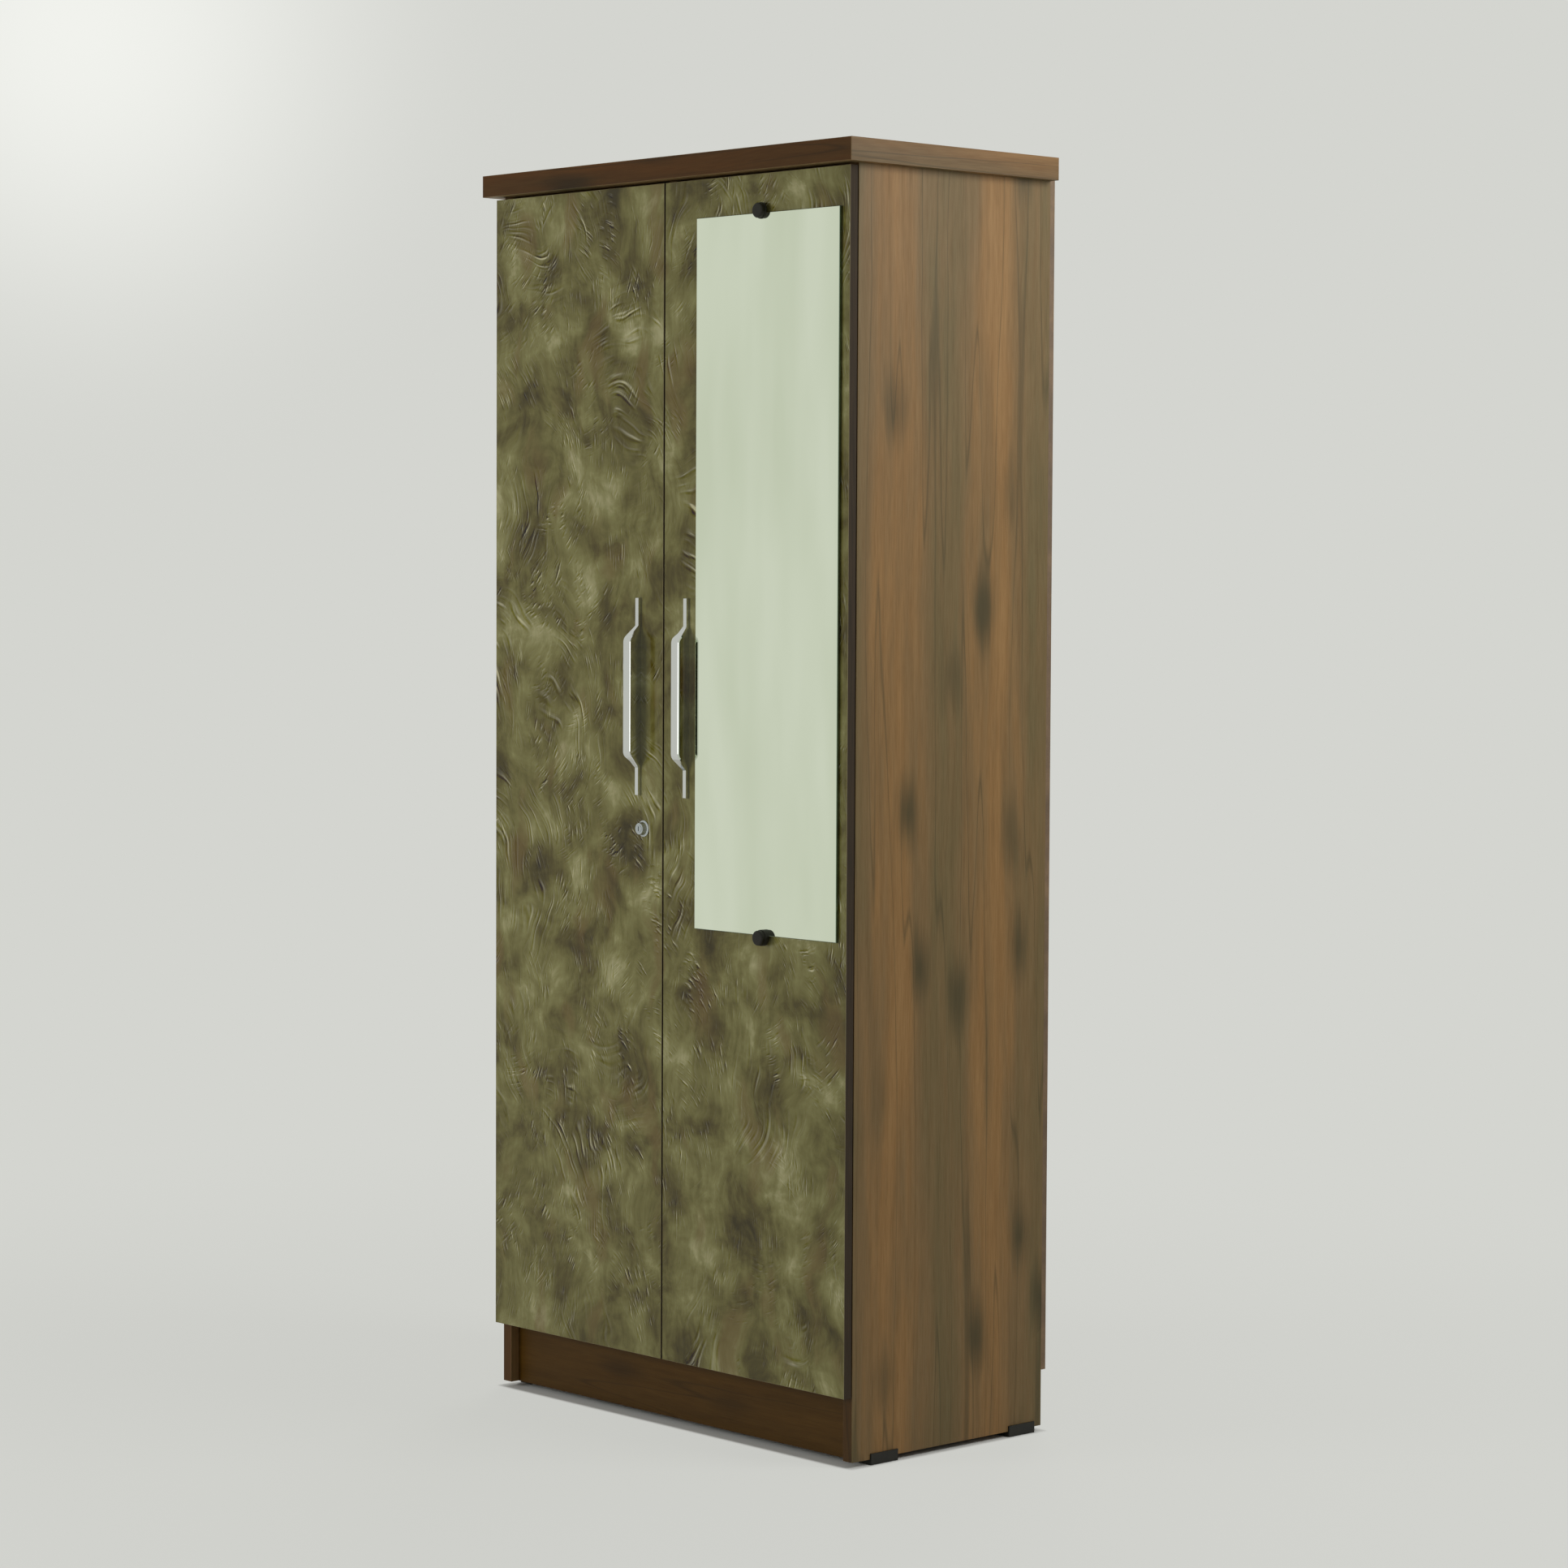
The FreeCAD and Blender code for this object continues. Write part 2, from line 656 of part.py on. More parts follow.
def make_arm():
    """Pressed channel: two cheeks joined by a web that stops short of the nose."""
    def at(height, back):
        point = arm_point(height, back)
        return (point.x, point.y)

    tip = arm_tip_radius
    outline = [
        at(outer_arm_pivot_height - tip, arm_tail_start),
        at(arm_skirt_height, arm_tail_start),
        at(arm_skirt_height, arm_tail_end),
        at(arm_tail_height, arm_tail_end),
        at(arm_tail_height, arm_tail_start),
        at(arm_nose_height, arm_nose_back),
        at(arm_nose_height, arm_nose_front),
        at(outer_arm_pivot_height + tip, -outer_arm_pivot_forward),
        at(outer_arm_pivot_height - tip, -outer_arm_pivot_forward),
    ]
    body = upright_slab(outline, (-arm_cheek_outer, arm_cheek_outer))
    body = body.fuse(eye(outer_arm_pivot, tip, -arm_cheek_outer, arm_cheek_outer))
    inside = (-arm_cheek_inner, arm_cheek_inner)
    reach = side_thickness
    nose_room = [
        at(-reach, -reach), at(arm_nose_height + reach, -reach), at(arm_nose_height + reach, arm_nose_front),
        at(arm_nose_height - arm_wall, arm_nose_front), at(arm_nose_height - arm_wall, arm_nose_back),
        at(arm_tail_height - arm_wall, arm_tail_start), at(arm_tail_height - arm_wall, 2 * arm_tail_end),
        at(-reach, 2 * arm_tail_end),
    ]
    body = body.cut(upright_slab(nose_room, inside))
    rivet_hole = eye(outer_arm_pivot, arm_rivet_radius, -arm_cheek_outer, arm_cheek_outer)
    pin_hole = eye(inner_arm_pivot, arm_rivet_radius, -arm_cheek_outer, arm_cheek_outer)
    return body.cut(rivet_hole).cut(pin_hole).removeSplitter()


def make_arm_pins():
    """Stub rivets for the outer link and a through pin for the inner one."""
    pins = []
    for direction in (ALONG_Z, -ALONG_Z):
        start = outer_arm_pivot + direction * rivet_start
        stub = rod(start, direction, arm_rivet_radius, arm_cheek_outer - rivet_start)
        head_seat = outer_arm_pivot + direction * arm_cheek_outer
        head = rod(head_seat, direction, rivet_head_radius, rivet_head_height)
        pins.append(stub.fuse(head))
    pin = rod(inner_arm_pivot - ALONG_Z * arm_cheek_outer, ALONG_Z, arm_rivet_radius, 2 * arm_cheek_outer)
    heads = [
        rod(inner_arm_pivot + ALONG_Z * arm_cheek_outer, ALONG_Z, rivet_head_radius, rivet_head_height),
        rod(inner_arm_pivot - ALONG_Z * arm_cheek_outer, -ALONG_Z, rivet_head_radius, rivet_head_height),
    ]
    pins.append(pin.fuse(heads))
    return pins


def make_plate():
    """Mounting plate: two screw wings and the block that carries the arm."""
    half_spread = plate_screw_spacing / 2 + screw_head_radius + 2
    wing_near = arm_point(0, plate_screw_line - plate_wing_depth / 2)
    wing_far = arm_point(plate_thickness, plate_screw_line + plate_wing_depth / 2)
    wings = block((wing_far.x, wing_near.x), (wing_near.y, wing_far.y), (-half_spread, half_spread))
    corners = [edge for edge in wings.Edges if abs(edge.BoundBox.XLength - plate_thickness) < 0.01]
    wings = wings.makeFillet(plate_wing_depth / 4, corners)
    rise = arm_point(arm_tail_height - arm_wall, 0).x
    core = block(
        (rise, inner_half_width), (plate_block_start, plate_block_end),
        (-plate_block_half_width, plate_block_half_width),
    )
    return wings.fuse(core).removeSplitter()


def make_arm_screw():
    seat = arm_point(arm_tail_height, arm_screw_line)
    shank = rod(seat, ALONG_X, arm_screw_radius, arm_wall + arm_screw_bite)
    head = rod(seat, -ALONG_X, screw_head_radius, screw_head_height)
    return shank.fuse(head)


def make_cup():
    """Deep-drawn cup with its screw flange and the two lugs that hold the pins."""
    outside = rod(cup_centre, -ALONG_Y, cup_radius, cup_depth)
    inside = rod(cup_centre, -ALONG_Y, cup_radius - cup_wall, cup_depth - cup_wall)
    plate = rod(cup_centre, ALONG_Y, cup_radius + flange_overlap, flange_thickness)
    ears = []
    for z in (-cup_screw_spacing / 2, cup_screw_spacing / 2):
        ear_centre = cup_centre + Vector(-cup_screw_offset, 0, z)
        ears.append(rod(ear_centre, ALONG_Y, cup_screw_ear, flange_thickness))
        y_low = cup_centre.y
        z_pair = sorted((0, z))
        ears.append(block(
            (ear_centre.x - cup_screw_ear, ear_centre.x + cup_screw_ear),
            (y_low, y_low + flange_thickness), z_pair,
        ))
    mouth = rod(cup_centre, ALONG_Y, cup_radius - cup_wall, flange_thickness)
    notch = block(
        (outer_cup_pivot.x + rim_notch_start, carcass_half_width),
        (cup_centre.y - rim_notch_depth, cup_centre.y + flange_thickness),
        (-rim_notch_half_width, rim_notch_half_width),
    )
    cup = outside.fuse([plate] + ears).cut(inside).cut(mouth).cut(notch)
    floor_y = cup_centre.y - cup_depth + cup_wall / 2
    lug_wall = link_eye_wall + cup_pin_radius
    lug_top = inner_cup_pin_radius + link_eye_wall * 0.7
    lugs = []
    for z_low, z_high in ((lug_inner, lug_outer), (-lug_outer, -lug_inner)):
        post = block(
            (outer_cup_pivot.x - lug_wall, outer_cup_pivot.x + lug_wall),
            (floor_y, outer_cup_pivot.y + lug_wall), (z_low, z_high),
        )
        lugs += [post, bar(outer_cup_pivot, inner_cup_pivot, lug_top, z_low, z_high)]
    cup = cup.fuse(lugs)
    outer_pin = eye(outer_cup_pivot, cup_pin_radius, -arm_cheek_inner, arm_cheek_inner)
    inner_pin = eye(
        inner_cup_pivot, inner_cup_pin_radius, -lug_outer - inner_pin_overrun, lug_outer + inner_pin_overrun,
    )
    return cup.cut(outer_pin).cut(inner_pin).removeSplitter(), [outer_pin, inner_pin]


def make_cup_screws():
    screws = []
    for z in (-cup_screw_spacing / 2, cup_screw_spacing / 2):
        seat = cup_centre + Vector(-cup_screw_offset, flange_thickness, z)
        screws.append(pan_screw(seat, -ALONG_Y, flange_thickness + screw_bite - 1))
    return screws


def at_hinges(shapes):
    """Copies of one hinge's pieces at each hinge height."""
    copies = []
    for height in hinge_heights:
        for shape in shapes:
            copy = shape.copy()
            copy.translate(Vector(0, 0, height))
            copies.append(copy)
    return copies


# --- lock ----------------------------------------------------------------------------------------------
def lock_point(y):
    return Vector(-lock_from_centre, y, lock_height)


def make_lock_barrel():
    """Nickel-plated barrel through the left door, turned in one piece: rose, tapered collar, body."""
    back = door_inner_face + lock_body_behind_door
    bore = lock_plug_radius + lock_running_clearance
    profile = [
        (bore, back),
        (lock_body_radius, back),
        (lock_body_radius, door_front_face),
        (lock_rose_radius, door_front_face),
        (lock_rose_radius, door_front_face - lock_rose_edge),
        (lock_collar_base_radius, door_front_face - lock_rose_thickness),
        (lock_collar_front_radius, door_front_face - lock_collar_proud),
        (bore, door_front_face - lock_collar_proud),
    ]
    points = [lock_point(y) + ALONG_X * radius for radius, y in profile]
    section = Part.Face(Part.makePolygon(points + [points[0]]))
    return section.revolve(lock_point(0), ALONG_Y, 360)


def make_lock_nut():
    radius = lock_nut_across_flats / math.sqrt(3)
    corners = []
    for i in range(7):
        angle = math.radians(60 * i)
        offset = Vector(radius * math.cos(angle), 0, radius * math.sin(angle))
        corners.append(lock_point(door_inner_face) + offset)
    nut = Part.Face(Part.makePolygon(corners)).extrude(Vector(0, lock_nut_thickness, 0))
    return nut.cut(rod(lock_point(door_inner_face), ALONG_Y, lock_body_radius, lock_nut_thickness))


def make_lock_plug():
    """Turning plug with its keyway."""
    front = door_front_face - lock_plug_proud
    back = cam_plate_front
    plug = rod(lock_point(front), ALONG_Y, lock_plug_radius, back - front)
    rims = [edge for edge in plug.Edges if edge.BoundBox.YMax < front + 0.1]
    plug = plug.makeFillet(lock_plug_rim_round, rims)
    slot = block(
        (-lock_from_centre - key_slot_width / 2, -lock_from_centre + key_slot_width / 2),
        (front, front + key_slot_depth),
        (lock_height - key_slot_height / 2, lock_height + key_slot_height / 2),
    )
    return plug.cut(slot)


def make_lock_cam():
    """Flat cam hanging down in the unlocked position."""
    front = cam_plate_front
    half = cam_plate_width / 2
    hub = rod(lock_point(front), ALONG_Y, half, cam_plate_thickness)
    tongue = block(
        (-lock_from_centre - half, -lock_from_centre + half), (front, front + cam_plate_thickness),
        (lock_height - cam_plate_reach, lock_height),
    )
    corners = [
        edge for edge in tongue.Edges
        if abs(edge.BoundBox.YLength - cam_plate_thickness) < 0.01
        and edge.BoundBox.ZMax < lock_height - cam_plate_reach + 0.1
    ]
    return hub.fuse(tongue.makeFillet(half / 2, corners)).removeSplitter()


def make_lock_screw():
    back = cam_plate_front + cam_plate_thickness
    return pan_screw(lock_point(back), -ALONG_Y, cam_plate_thickness + screw_bite / 2)


def make_keeper(screws):
    """Bent strip on the partition that the cam turns behind."""
    z_pair = (lock_height - keeper_height / 2, lock_height + keeper_height / 2)
    face = -partition_face
    leaf = block((face - keeper_thickness, face), (keeper_lip_front, keeper_lip_front + keeper_depth), z_pair)
    lip = block((face - keeper_lip, face), (keeper_lip_front, keeper_lip_back), z_pair)
    keeper = leaf.fuse(lip).removeSplitter()
    corners = [
        edge for edge in keeper.Edges
        if edge.BoundBox.XMax < face - keeper_lip + 0.1 and edge.BoundBox.YLength > keeper_thickness / 2
    ]
    keeper = keeper.makeFillet(keeper_corner_radius, corners)
    for dz in (-keeper_screw_spacing / 2, keeper_screw_spacing / 2):
        seat = Vector(face - keeper_thickness, keeper_lip_front + keeper_screw_from_lip, lock_height + dz)
        screw = pan_screw(seat, ALONG_X, keeper_thickness + screw_bite)
        keeper = keeper.cut(screw)
        holes["partition"].append(screw)
        screws.append(screw)
    return keeper


# --- mirror on the right door -----------------------------------------------------------------------------
mirror_right = carcass_half_width - mirror_edge_margin
mirror_left = handle_from_centre + mirror_beside_handle
mirror_bottom = door_bottom + mirror_above_door_bottom
mirror_top = door_top - mirror_below_door_top
mirror_back = door_front_face - tape_thickness
mirror_front = mirror_back - mirror_thickness


def make_mirror():
    glass = block((mirror_left, mirror_right), (mirror_front, mirror_back), (mirror_bottom, mirror_top))
    front_edges = [edge for edge in glass.Edges if edge.BoundBox.YMax < mirror_front + 0.1]
    return glass.makeChamfer(mirror_bevel, front_edges)


def make_tapes():
    z_pair = (mirror_bottom + tape_inset, mirror_top - tape_inset)
    y_pair = (mirror_back, door_front_face)
    left = block((mirror_left + tape_inset, mirror_left + tape_inset + tape_width), y_pair, z_pair)
    right = block((mirror_right - tape_inset - tape_width, mirror_right - tape_inset), y_pair, z_pair)
    return [left, right]


def round_stage(x, z, y_pair, radius, rounding):
    """Short round stage of a clip with its front rim rounded."""
    stage = rod(Vector(x, y_pair[1], z), -ALONG_Y, radius, y_pair[1] - y_pair[0])
    rims = [edge for edge in stage.Edges if edge.BoundBox.YMax < y_pair[0] + 0.1]
    return stage.makeFillet(rounding, rims)


def make_clip(x, z, thickness):
    """Round knob whose stem stands beside the glass: a base that laps over it and a smaller cap."""
    stem = rod(Vector(x, door_front_face, z), -ALONG_Y, clip_stem_radius, door_front_face - mirror_front)
    front = mirror_front - thickness
    step = front + clip_cap_thickness
    base = round_stage(x, z, (step, mirror_front), clip_radius, clip_base_rounding)
    cap = round_stage(x, z, (front, step), clip_radius - clip_cap_step, clip_rounding)
    knob = stem.fuse([base, cap]).removeSplitter()
    screw_start = Vector(x, mirror_front - thickness / 2, z)
    screw = rod(screw_start, ALONG_Y, screw_radius, door_front_face + clip_screw_bite - screw_start.y)
    return knob.cut(screw), screw


def make_bumpers():
    """Soft pads inside the right door's free edge."""
    x = door_free_edge + bumper_inset - bumper_radius / 2
    pads = []
    for z in (door_bottom + bumper_end_distance, door_top - bumper_end_distance):
        base = Vector(x, door_inner_face, z)
        pads.append(rod(base, ALONG_Y, bumper_radius, door_gap - bumper_clearance))
    return pads


# --- assembly ---------------------------------------------------------------------------------------------
nodes = {}

fit_carcass()
nodes["back_panel_screws"] = make_back_screws()

cabinet_screws = []
shelf_pins = []
for i, height in enumerate(left_shelf_heights):
    nodes[f"left_shelf_{i + 1}"] = [make_left_shelf(height)]
    shelf_pins += make_shelf_pins(-inner_half_width, -partition_face, "side", "partition", height)
for name, height in (("hat_shelf", hat_shelf_height), ("shoe_shelf", shoe_shelf_height)):
    nodes[name] = [make_shelf(partition_face, inner_half_width, height)]
    shelf_pins += make_shelf_pins(partition_face, inner_half_width, "partition", "side", height)
nodes["shelf_pins"] = shelf_pins

nodes["hanging_rail"] = [make_rail()]
nodes["rail_sockets"] = [
    make_socket(partition_face, ALONG_X, "partition", cabinet_screws),
    make_socket(inner_half_width, -ALONG_X, "side", cabinet_screws),
]
nodes["lock_keeper"] = [make_keeper(cabinet_screws)]

foot_nails = []
right_feet = [
    make_foot(front_foot_setback, foot_nails),
    make_foot(side_depth - rear_foot_setback - foot_length, foot_nails),
]
nodes["feet"] = right_feet + mirrored(right_feet)
nodes["foot_nails"] = foot_nails + mirrored(foot_nails)

arms = at_hinges([make_arm().cut(make_arm_screw())])
plates = [make_plate().cut(make_arm_screw())]
plate_screws = []
for z in (-plate_screw_spacing / 2, plate_screw_spacing / 2):
    seat = arm_point(plate_thickness, plate_screw_line) + ALONG_Z * z
    screw = pan_screw(seat, ALONG_X, plate_thickness + screw_bite)
    plates = [plate.cut(screw) for plate in plates]
    plate_screws.append(screw)
plates = at_hinges(plates)
plate_screws = at_hinges(plate_screws)
arm_screws = at_hinges([make_arm_screw()])
arm_pins = at_hinges(make_arm_pins())
cabinet_screws += plate_screws + mirrored(plate_screws)
holes["side"] += plate_screws + mirrored(plate_screws)
outer_links = at_hinges(make_outer_link())
inner_links = at_hinges([make_inner_link()])
cup, cup_pins = make_cup()
cup_screws = make_cup_screws()
cups = at_hinges([cut_all(cup, cup_screws)])
cup_pins = at_hinges(cup_pins)
cup_screws = at_hinges(cup_screws)
for name, shapes in (
    ("hinge_arms", arms), ("mounting_plates", plates), ("outer_links", outer_links),
    ("inner_links", inner_links), ("hinge_cups", cups), ("cup_pins", cup_pins), ("cup_screws", cup_screws),
):
    nodes[f"right_{name}"] = shapes
    nodes[f"left_{name}"] = mirrored(shapes)
nodes["arm_screws"] = arm_screws + mirrored(arm_screws)
nodes["arm_pins"] = arm_pins + mirrored(arm_pins)
nodes["cabinet_screws"] = cabinet_screws

handle_screws = make_handle_screws()
handle = cut_all(make_handle(), handle_screws)
bumpers = make_bumpers()
nodes["right_handle"] = [handle]
nodes["left_handle"] = mirrored([handle])
nodes["right_handle_screws"] = handle_screws
nodes["left_handle_screws"] = mirrored(handle_screws)
nodes["right_door_bumpers"] = bumpers
nodes["left_door_bumpers"] = mirrored(bumpers)

clip_middle = (mirror_left + mirror_right) / 2
clip_offset = clip_stem_radius + clip_stem_gap
top_clip, top_screw = make_clip(clip_middle + top_clip_offset, mirror_top + clip_offset, top_clip_thickness)
bottom_clip, bottom_screw = make_clip(clip_middle, mirror_bottom - clip_offset, bottom_clip_thickness)
clip_screws = [top_screw, bottom_screw]
nodes["mirror_glass"] = [make_mirror()]
nodes["mirror_tapes"] = make_tapes()
nodes["mirror_top_clip"] = [top_clip]
nodes["mirror_bottom_clip"] = [bottom_clip]
nodes["mirror_clip_screws"] = clip_screws

nodes["lock_barrel"] = [make_lock_barrel()]
nodes["lock_nut"] = [make_lock_nut()]
lock_screw = make_lock_screw()
nodes["lock_plug"] = [make_lock_plug().cut(lock_screw)]
nodes["lock_cam"] = [make_lock_cam().cut(lock_screw)]
nodes["lock_cam_screw"] = [lock_screw]

cup_pocket = at_hinges([rod(cup_centre, -ALONG_Y, cup_radius, cup_depth)])
door_x = (door_free_edge, carcass_half_width)
door_panel = softened_board(door_x, (door_front_face, door_inner_face), (door_bottom, door_top))
shared_holes = cup_pocket + cup_screws + handle_screws
right_door = cut_all(door_panel, shared_holes + clip_screws)
lock_hole = rod(lock_point(door_inner_face), -ALONG_Y, lock_body_radius, door_thickness)
left_door = cut_all(mirrored([door_panel])[0], mirrored(shared_holes) + [lock_hole])
nodes["right_door_panel"] = [right_door]
nodes["left_door_panel"] = [left_door]

side = softened_board(
    (inner_half_width, carcass_half_width), (0, side_depth), (side_bottom, side_top)
)
nodes["right_side_panel"] = [cut_all(side, holes["side"])]
nodes["left_side_panel"] = [cut_all(mirrored([side])[0], holes["side"])]
top = softened_board(
    (-top_width / 2, top_width / 2), (-top_front_overhang, side_depth), (side_top, overall_height)
)
nodes["top_board"] = [cut_all(top, holes["top"])]
floor_board = softened_board(
    (-inner_half_width, inner_half_width), (0, side_depth), (floor_board_bottom, floor_board_top)
)
nodes["bottom_board"] = [cut_all(floor_board, holes["bottom"])]
partition = softened_board((-partition_face, partition_face), (0, side_depth), (floor_board_top, side_top))
nodes["centre_partition"] = [cut_all(partition, holes["partition"])]
for name, front in (("front_plinth", plinth_setback), ("rear_plinth", side_depth - plinth_thickness)):
    plinth = block(
        (-inner_half_width, inner_half_width), (front, front + plinth_thickness),
        (side_bottom, floor_board_bottom),
    )
    nodes[name] = [cut_all(plinth, holes["plinth"])]
back = block(
    (-carcass_half_width, carcass_half_width), (side_depth, back_rear),
    (floor_board_bottom - back_drop, side_top + back_lap_on_top),
)
nodes["back_panel"] = [cut_all(back, holes["back"])]
nodes["cam_discs"] = cam_discs
nodes["cam_bolts"] = cam_bolts
nodes["dowels"] = dowels

os.makedirs("parts", exist_ok=True)
for name, shapes in nodes.items():
    shape = shapes[0].copy() if len(shapes) == 1 else Part.makeCompound(shapes)
    shape.translate(Vector(0, -depth_centre, 0))
    shape.exportStep(os.path.join("parts", f"{name}.step"))
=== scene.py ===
"""Two-door wardrobe: its finishes, and the lamps, floor and camera round it.

Lengths are in metres, in the part's own frame.
"""

import json
import math

import bpy
from mathutils import Matrix, Vector


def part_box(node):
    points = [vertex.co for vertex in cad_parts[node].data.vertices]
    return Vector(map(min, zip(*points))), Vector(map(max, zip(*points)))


MM = 0.001

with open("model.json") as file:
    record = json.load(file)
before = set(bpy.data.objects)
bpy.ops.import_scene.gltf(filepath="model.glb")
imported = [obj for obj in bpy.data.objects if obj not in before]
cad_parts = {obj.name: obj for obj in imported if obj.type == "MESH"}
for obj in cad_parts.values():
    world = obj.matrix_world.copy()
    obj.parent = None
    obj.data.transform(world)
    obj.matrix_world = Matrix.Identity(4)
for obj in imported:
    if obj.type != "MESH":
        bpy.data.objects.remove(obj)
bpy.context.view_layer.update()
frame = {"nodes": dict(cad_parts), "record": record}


# ---------------------------------------------------------------------------------- shared tools
def rgb(hex_colour):
    """Linear colour of an sRGB hex value."""
    values = [int(hex_colour[start:start + 2], 16) / 255 for start in (1, 3, 5)]
    return [v / 12.92 if v <= 0.04045 else ((v + 0.055) / 1.055) ** 2.4 for v in values] + [1.0]


def add(tree, kind, inputs=(), stops=(), **settings):
    """Adds a node with its settings and its inputs, by name or in their order.

    An input is a number, a hex colour, a node's output, or a node, which gives its first output.
    """
    node = tree.nodes.new("ShaderNode" + kind)
    for setting, value in settings.items():
        setattr(node, setting, value)
    sockets = [socket for socket in node.inputs if socket.enabled]
    by_name = {socket.name: socket for socket in reversed(sockets)}
    for key, value in inputs.items() if isinstance(inputs, dict) else enumerate(inputs):
        socket = by_name[key] if isinstance(key, str) else sockets[key]
        if isinstance(value, bpy.types.Node):
            value = next(output for output in value.outputs if output.enabled)
        if isinstance(value, bpy.types.NodeSocket):
            tree.links.new(value, socket)
        else:
            socket.default_value = rgb(value) if isinstance(value, str) else value
    for _ in stops[2:]:
        node.color_ramp.elements.new(0.5)
    for element, (position, hex_colour) in zip(node.color_ramp.elements if stops else (), stops):
        element.position = position
        element.color = rgb(hex_colour)
    return node


def unit(*sizes):
    """Mapping scale that makes one unit of a pattern so many millimetres long on each axis."""
    return [1 / (size * MM) for size in sizes] + [0.0] * (3 - len(sizes))


def finish(name, recipe, **constants):
    """One material. The recipe gives what varies over the surface, the constants what doesn't."""
    material = bpy.data.materials.new(name)
    material.use_nodes = True
    tree = material.node_tree
    tree.nodes.clear()
    place = add(tree, "TexCoord").outputs["Object"]
    inputs = {key.replace("_", " "): value for key, value in constants.items()}
    inputs.update(recipe(tree, place))
    add(tree, "OutputMaterial", [add(tree, "BsdfPrincipled", inputs)])
    return material


def faces_along(tree, axis):
    """1 on faces square to the axis, 0 on faces along it. The change falls on the rounded corner."""
    normal = add(tree, "SeparateXYZ", [add(tree, "TexCoord").outputs["Normal"]])
    either_way = add(tree, "Math", [normal.outputs[axis]], operation="ABSOLUTE")
    return add(tree, "MapRange", [either_way, 0.90, 0.97], interpolation_type="SMOOTHSTEP")


# ---------------------------------------------------------------------------------- doors
# High-pressure laminate on particleboard: a printed plaster decor pressed under a gloss film.
# It looks like olive plaster worked with a trowel: soft clouds, a few rusty patches, and short
# ridges in patches that each run their own way, under a surface that mirrors the handles.

def trowel_marks(tree, face, reach, width, length, bow):
    """The marks of one set of trowel passes on a door's face, with sizes in millimetres.

    Gives their relief, and their painted light and shade: above 0 on the lit flank of a ridge and below 0 on
    the shaded one.
    """
    flat = add(tree, "Mapping", {"Vector": face, "Scale": unit(reach, 1.4 * reach)})
    patch = add(tree, "TexVoronoi", {"Vector": flat, "Scale": 1.0}, voronoi_dimensions="2D")
    rim = add(tree, "TexVoronoi", {"Vector": flat, "Scale": 1.0},
              voronoi_dimensions="2D", feature="DISTANCE_TO_EDGE")
    chance = add(tree, "SeparateColor", [patch.outputs["Color"]])
    from_middle = add(tree, "VectorMath", [flat, patch.outputs["Position"]], operation="SUBTRACT")
    # The trowel is held upright more often than level, so a patch leans up to 75 degrees each way.
    lean = add(tree, "MapRange", [chance.outputs["Red"], 0.0, 1.0, math.radians(-75), math.radians(75)])
    turned = add(tree, "VectorRotate", {"Vector": from_middle, "Angle": lean}, rotation_type="Z_AXIS")
    stroke = add(tree, "SeparateXYZ", [turned])
    # A pass swings round the wrist, so its marks are bowed.
    squared = add(tree, "Math", [stroke.outputs["Y"], stroke.outputs["Y"]], operation="MULTIPLY")
    across = add(tree, "Math", [squared, bow, stroke.outputs["X"]], operation="MULTIPLY_ADD")
    bowed = add(tree, "CombineXYZ", [across, stroke.outputs["Y"], chance.outputs["Blue"]])
    # Only the crests of the noise count, so that each mark is a short ridge by itself. Taken again half a
    # width further across, they tell one flank of it from the other. The third axis gives every patch
    # marks of its own.
    ridges = []
    for step in (0.0, 0.45):
        lines = add(tree, "Mapping", {
            "Vector": bowed, "Location": (step, 0, 0), "Scale": (reach / width, reach / length, 9.0),
        })
        crests = add(tree, "TexNoise", {"Vector": lines, "Scale": 1.0, "Detail": 2.0, "Roughness": 0.55})
        ridges.append(add(tree, "MapRange", [crests, 0.48, 0.76], interpolation_type="SMOOTHSTEP"))
    flank = add(tree, "Math", ridges, operation="SUBTRACT")
    # A pass fades out at its rim, its marks come and go, and some passes left none at all.
    worked = add(tree, "MapRange", [rim, 0.02, 0.30], interpolation_type="SMOOTHSTEP")
    uneven = add(tree, "TexNoise", {"Vector": flat, "Scale": 4.5, "Detail": 1.0})
    skips = add(tree, "MapRange", [uneven, 0.38, 0.66], interpolation_type="SMOOTHSTEP")
    pressed = add(tree, "MapRange", [chance.outputs["Green"], 0.15, 0.85], interpolation_type="SMOOTHSTEP")
    share = add(tree, "Math", [add(tree, "Math", [worked, skips], operation="MULTIPLY"), pressed],
                operation="MULTIPLY")
    relief = add(tree, "Math", [ridges[0], share], operation="MULTIPLY")
    # Painted light and shade: the lit flank of a ridge above 0, the shaded one below.
    light = add(tree, "Math", [flank, share], operation="MULTIPLY")
    return relief, light


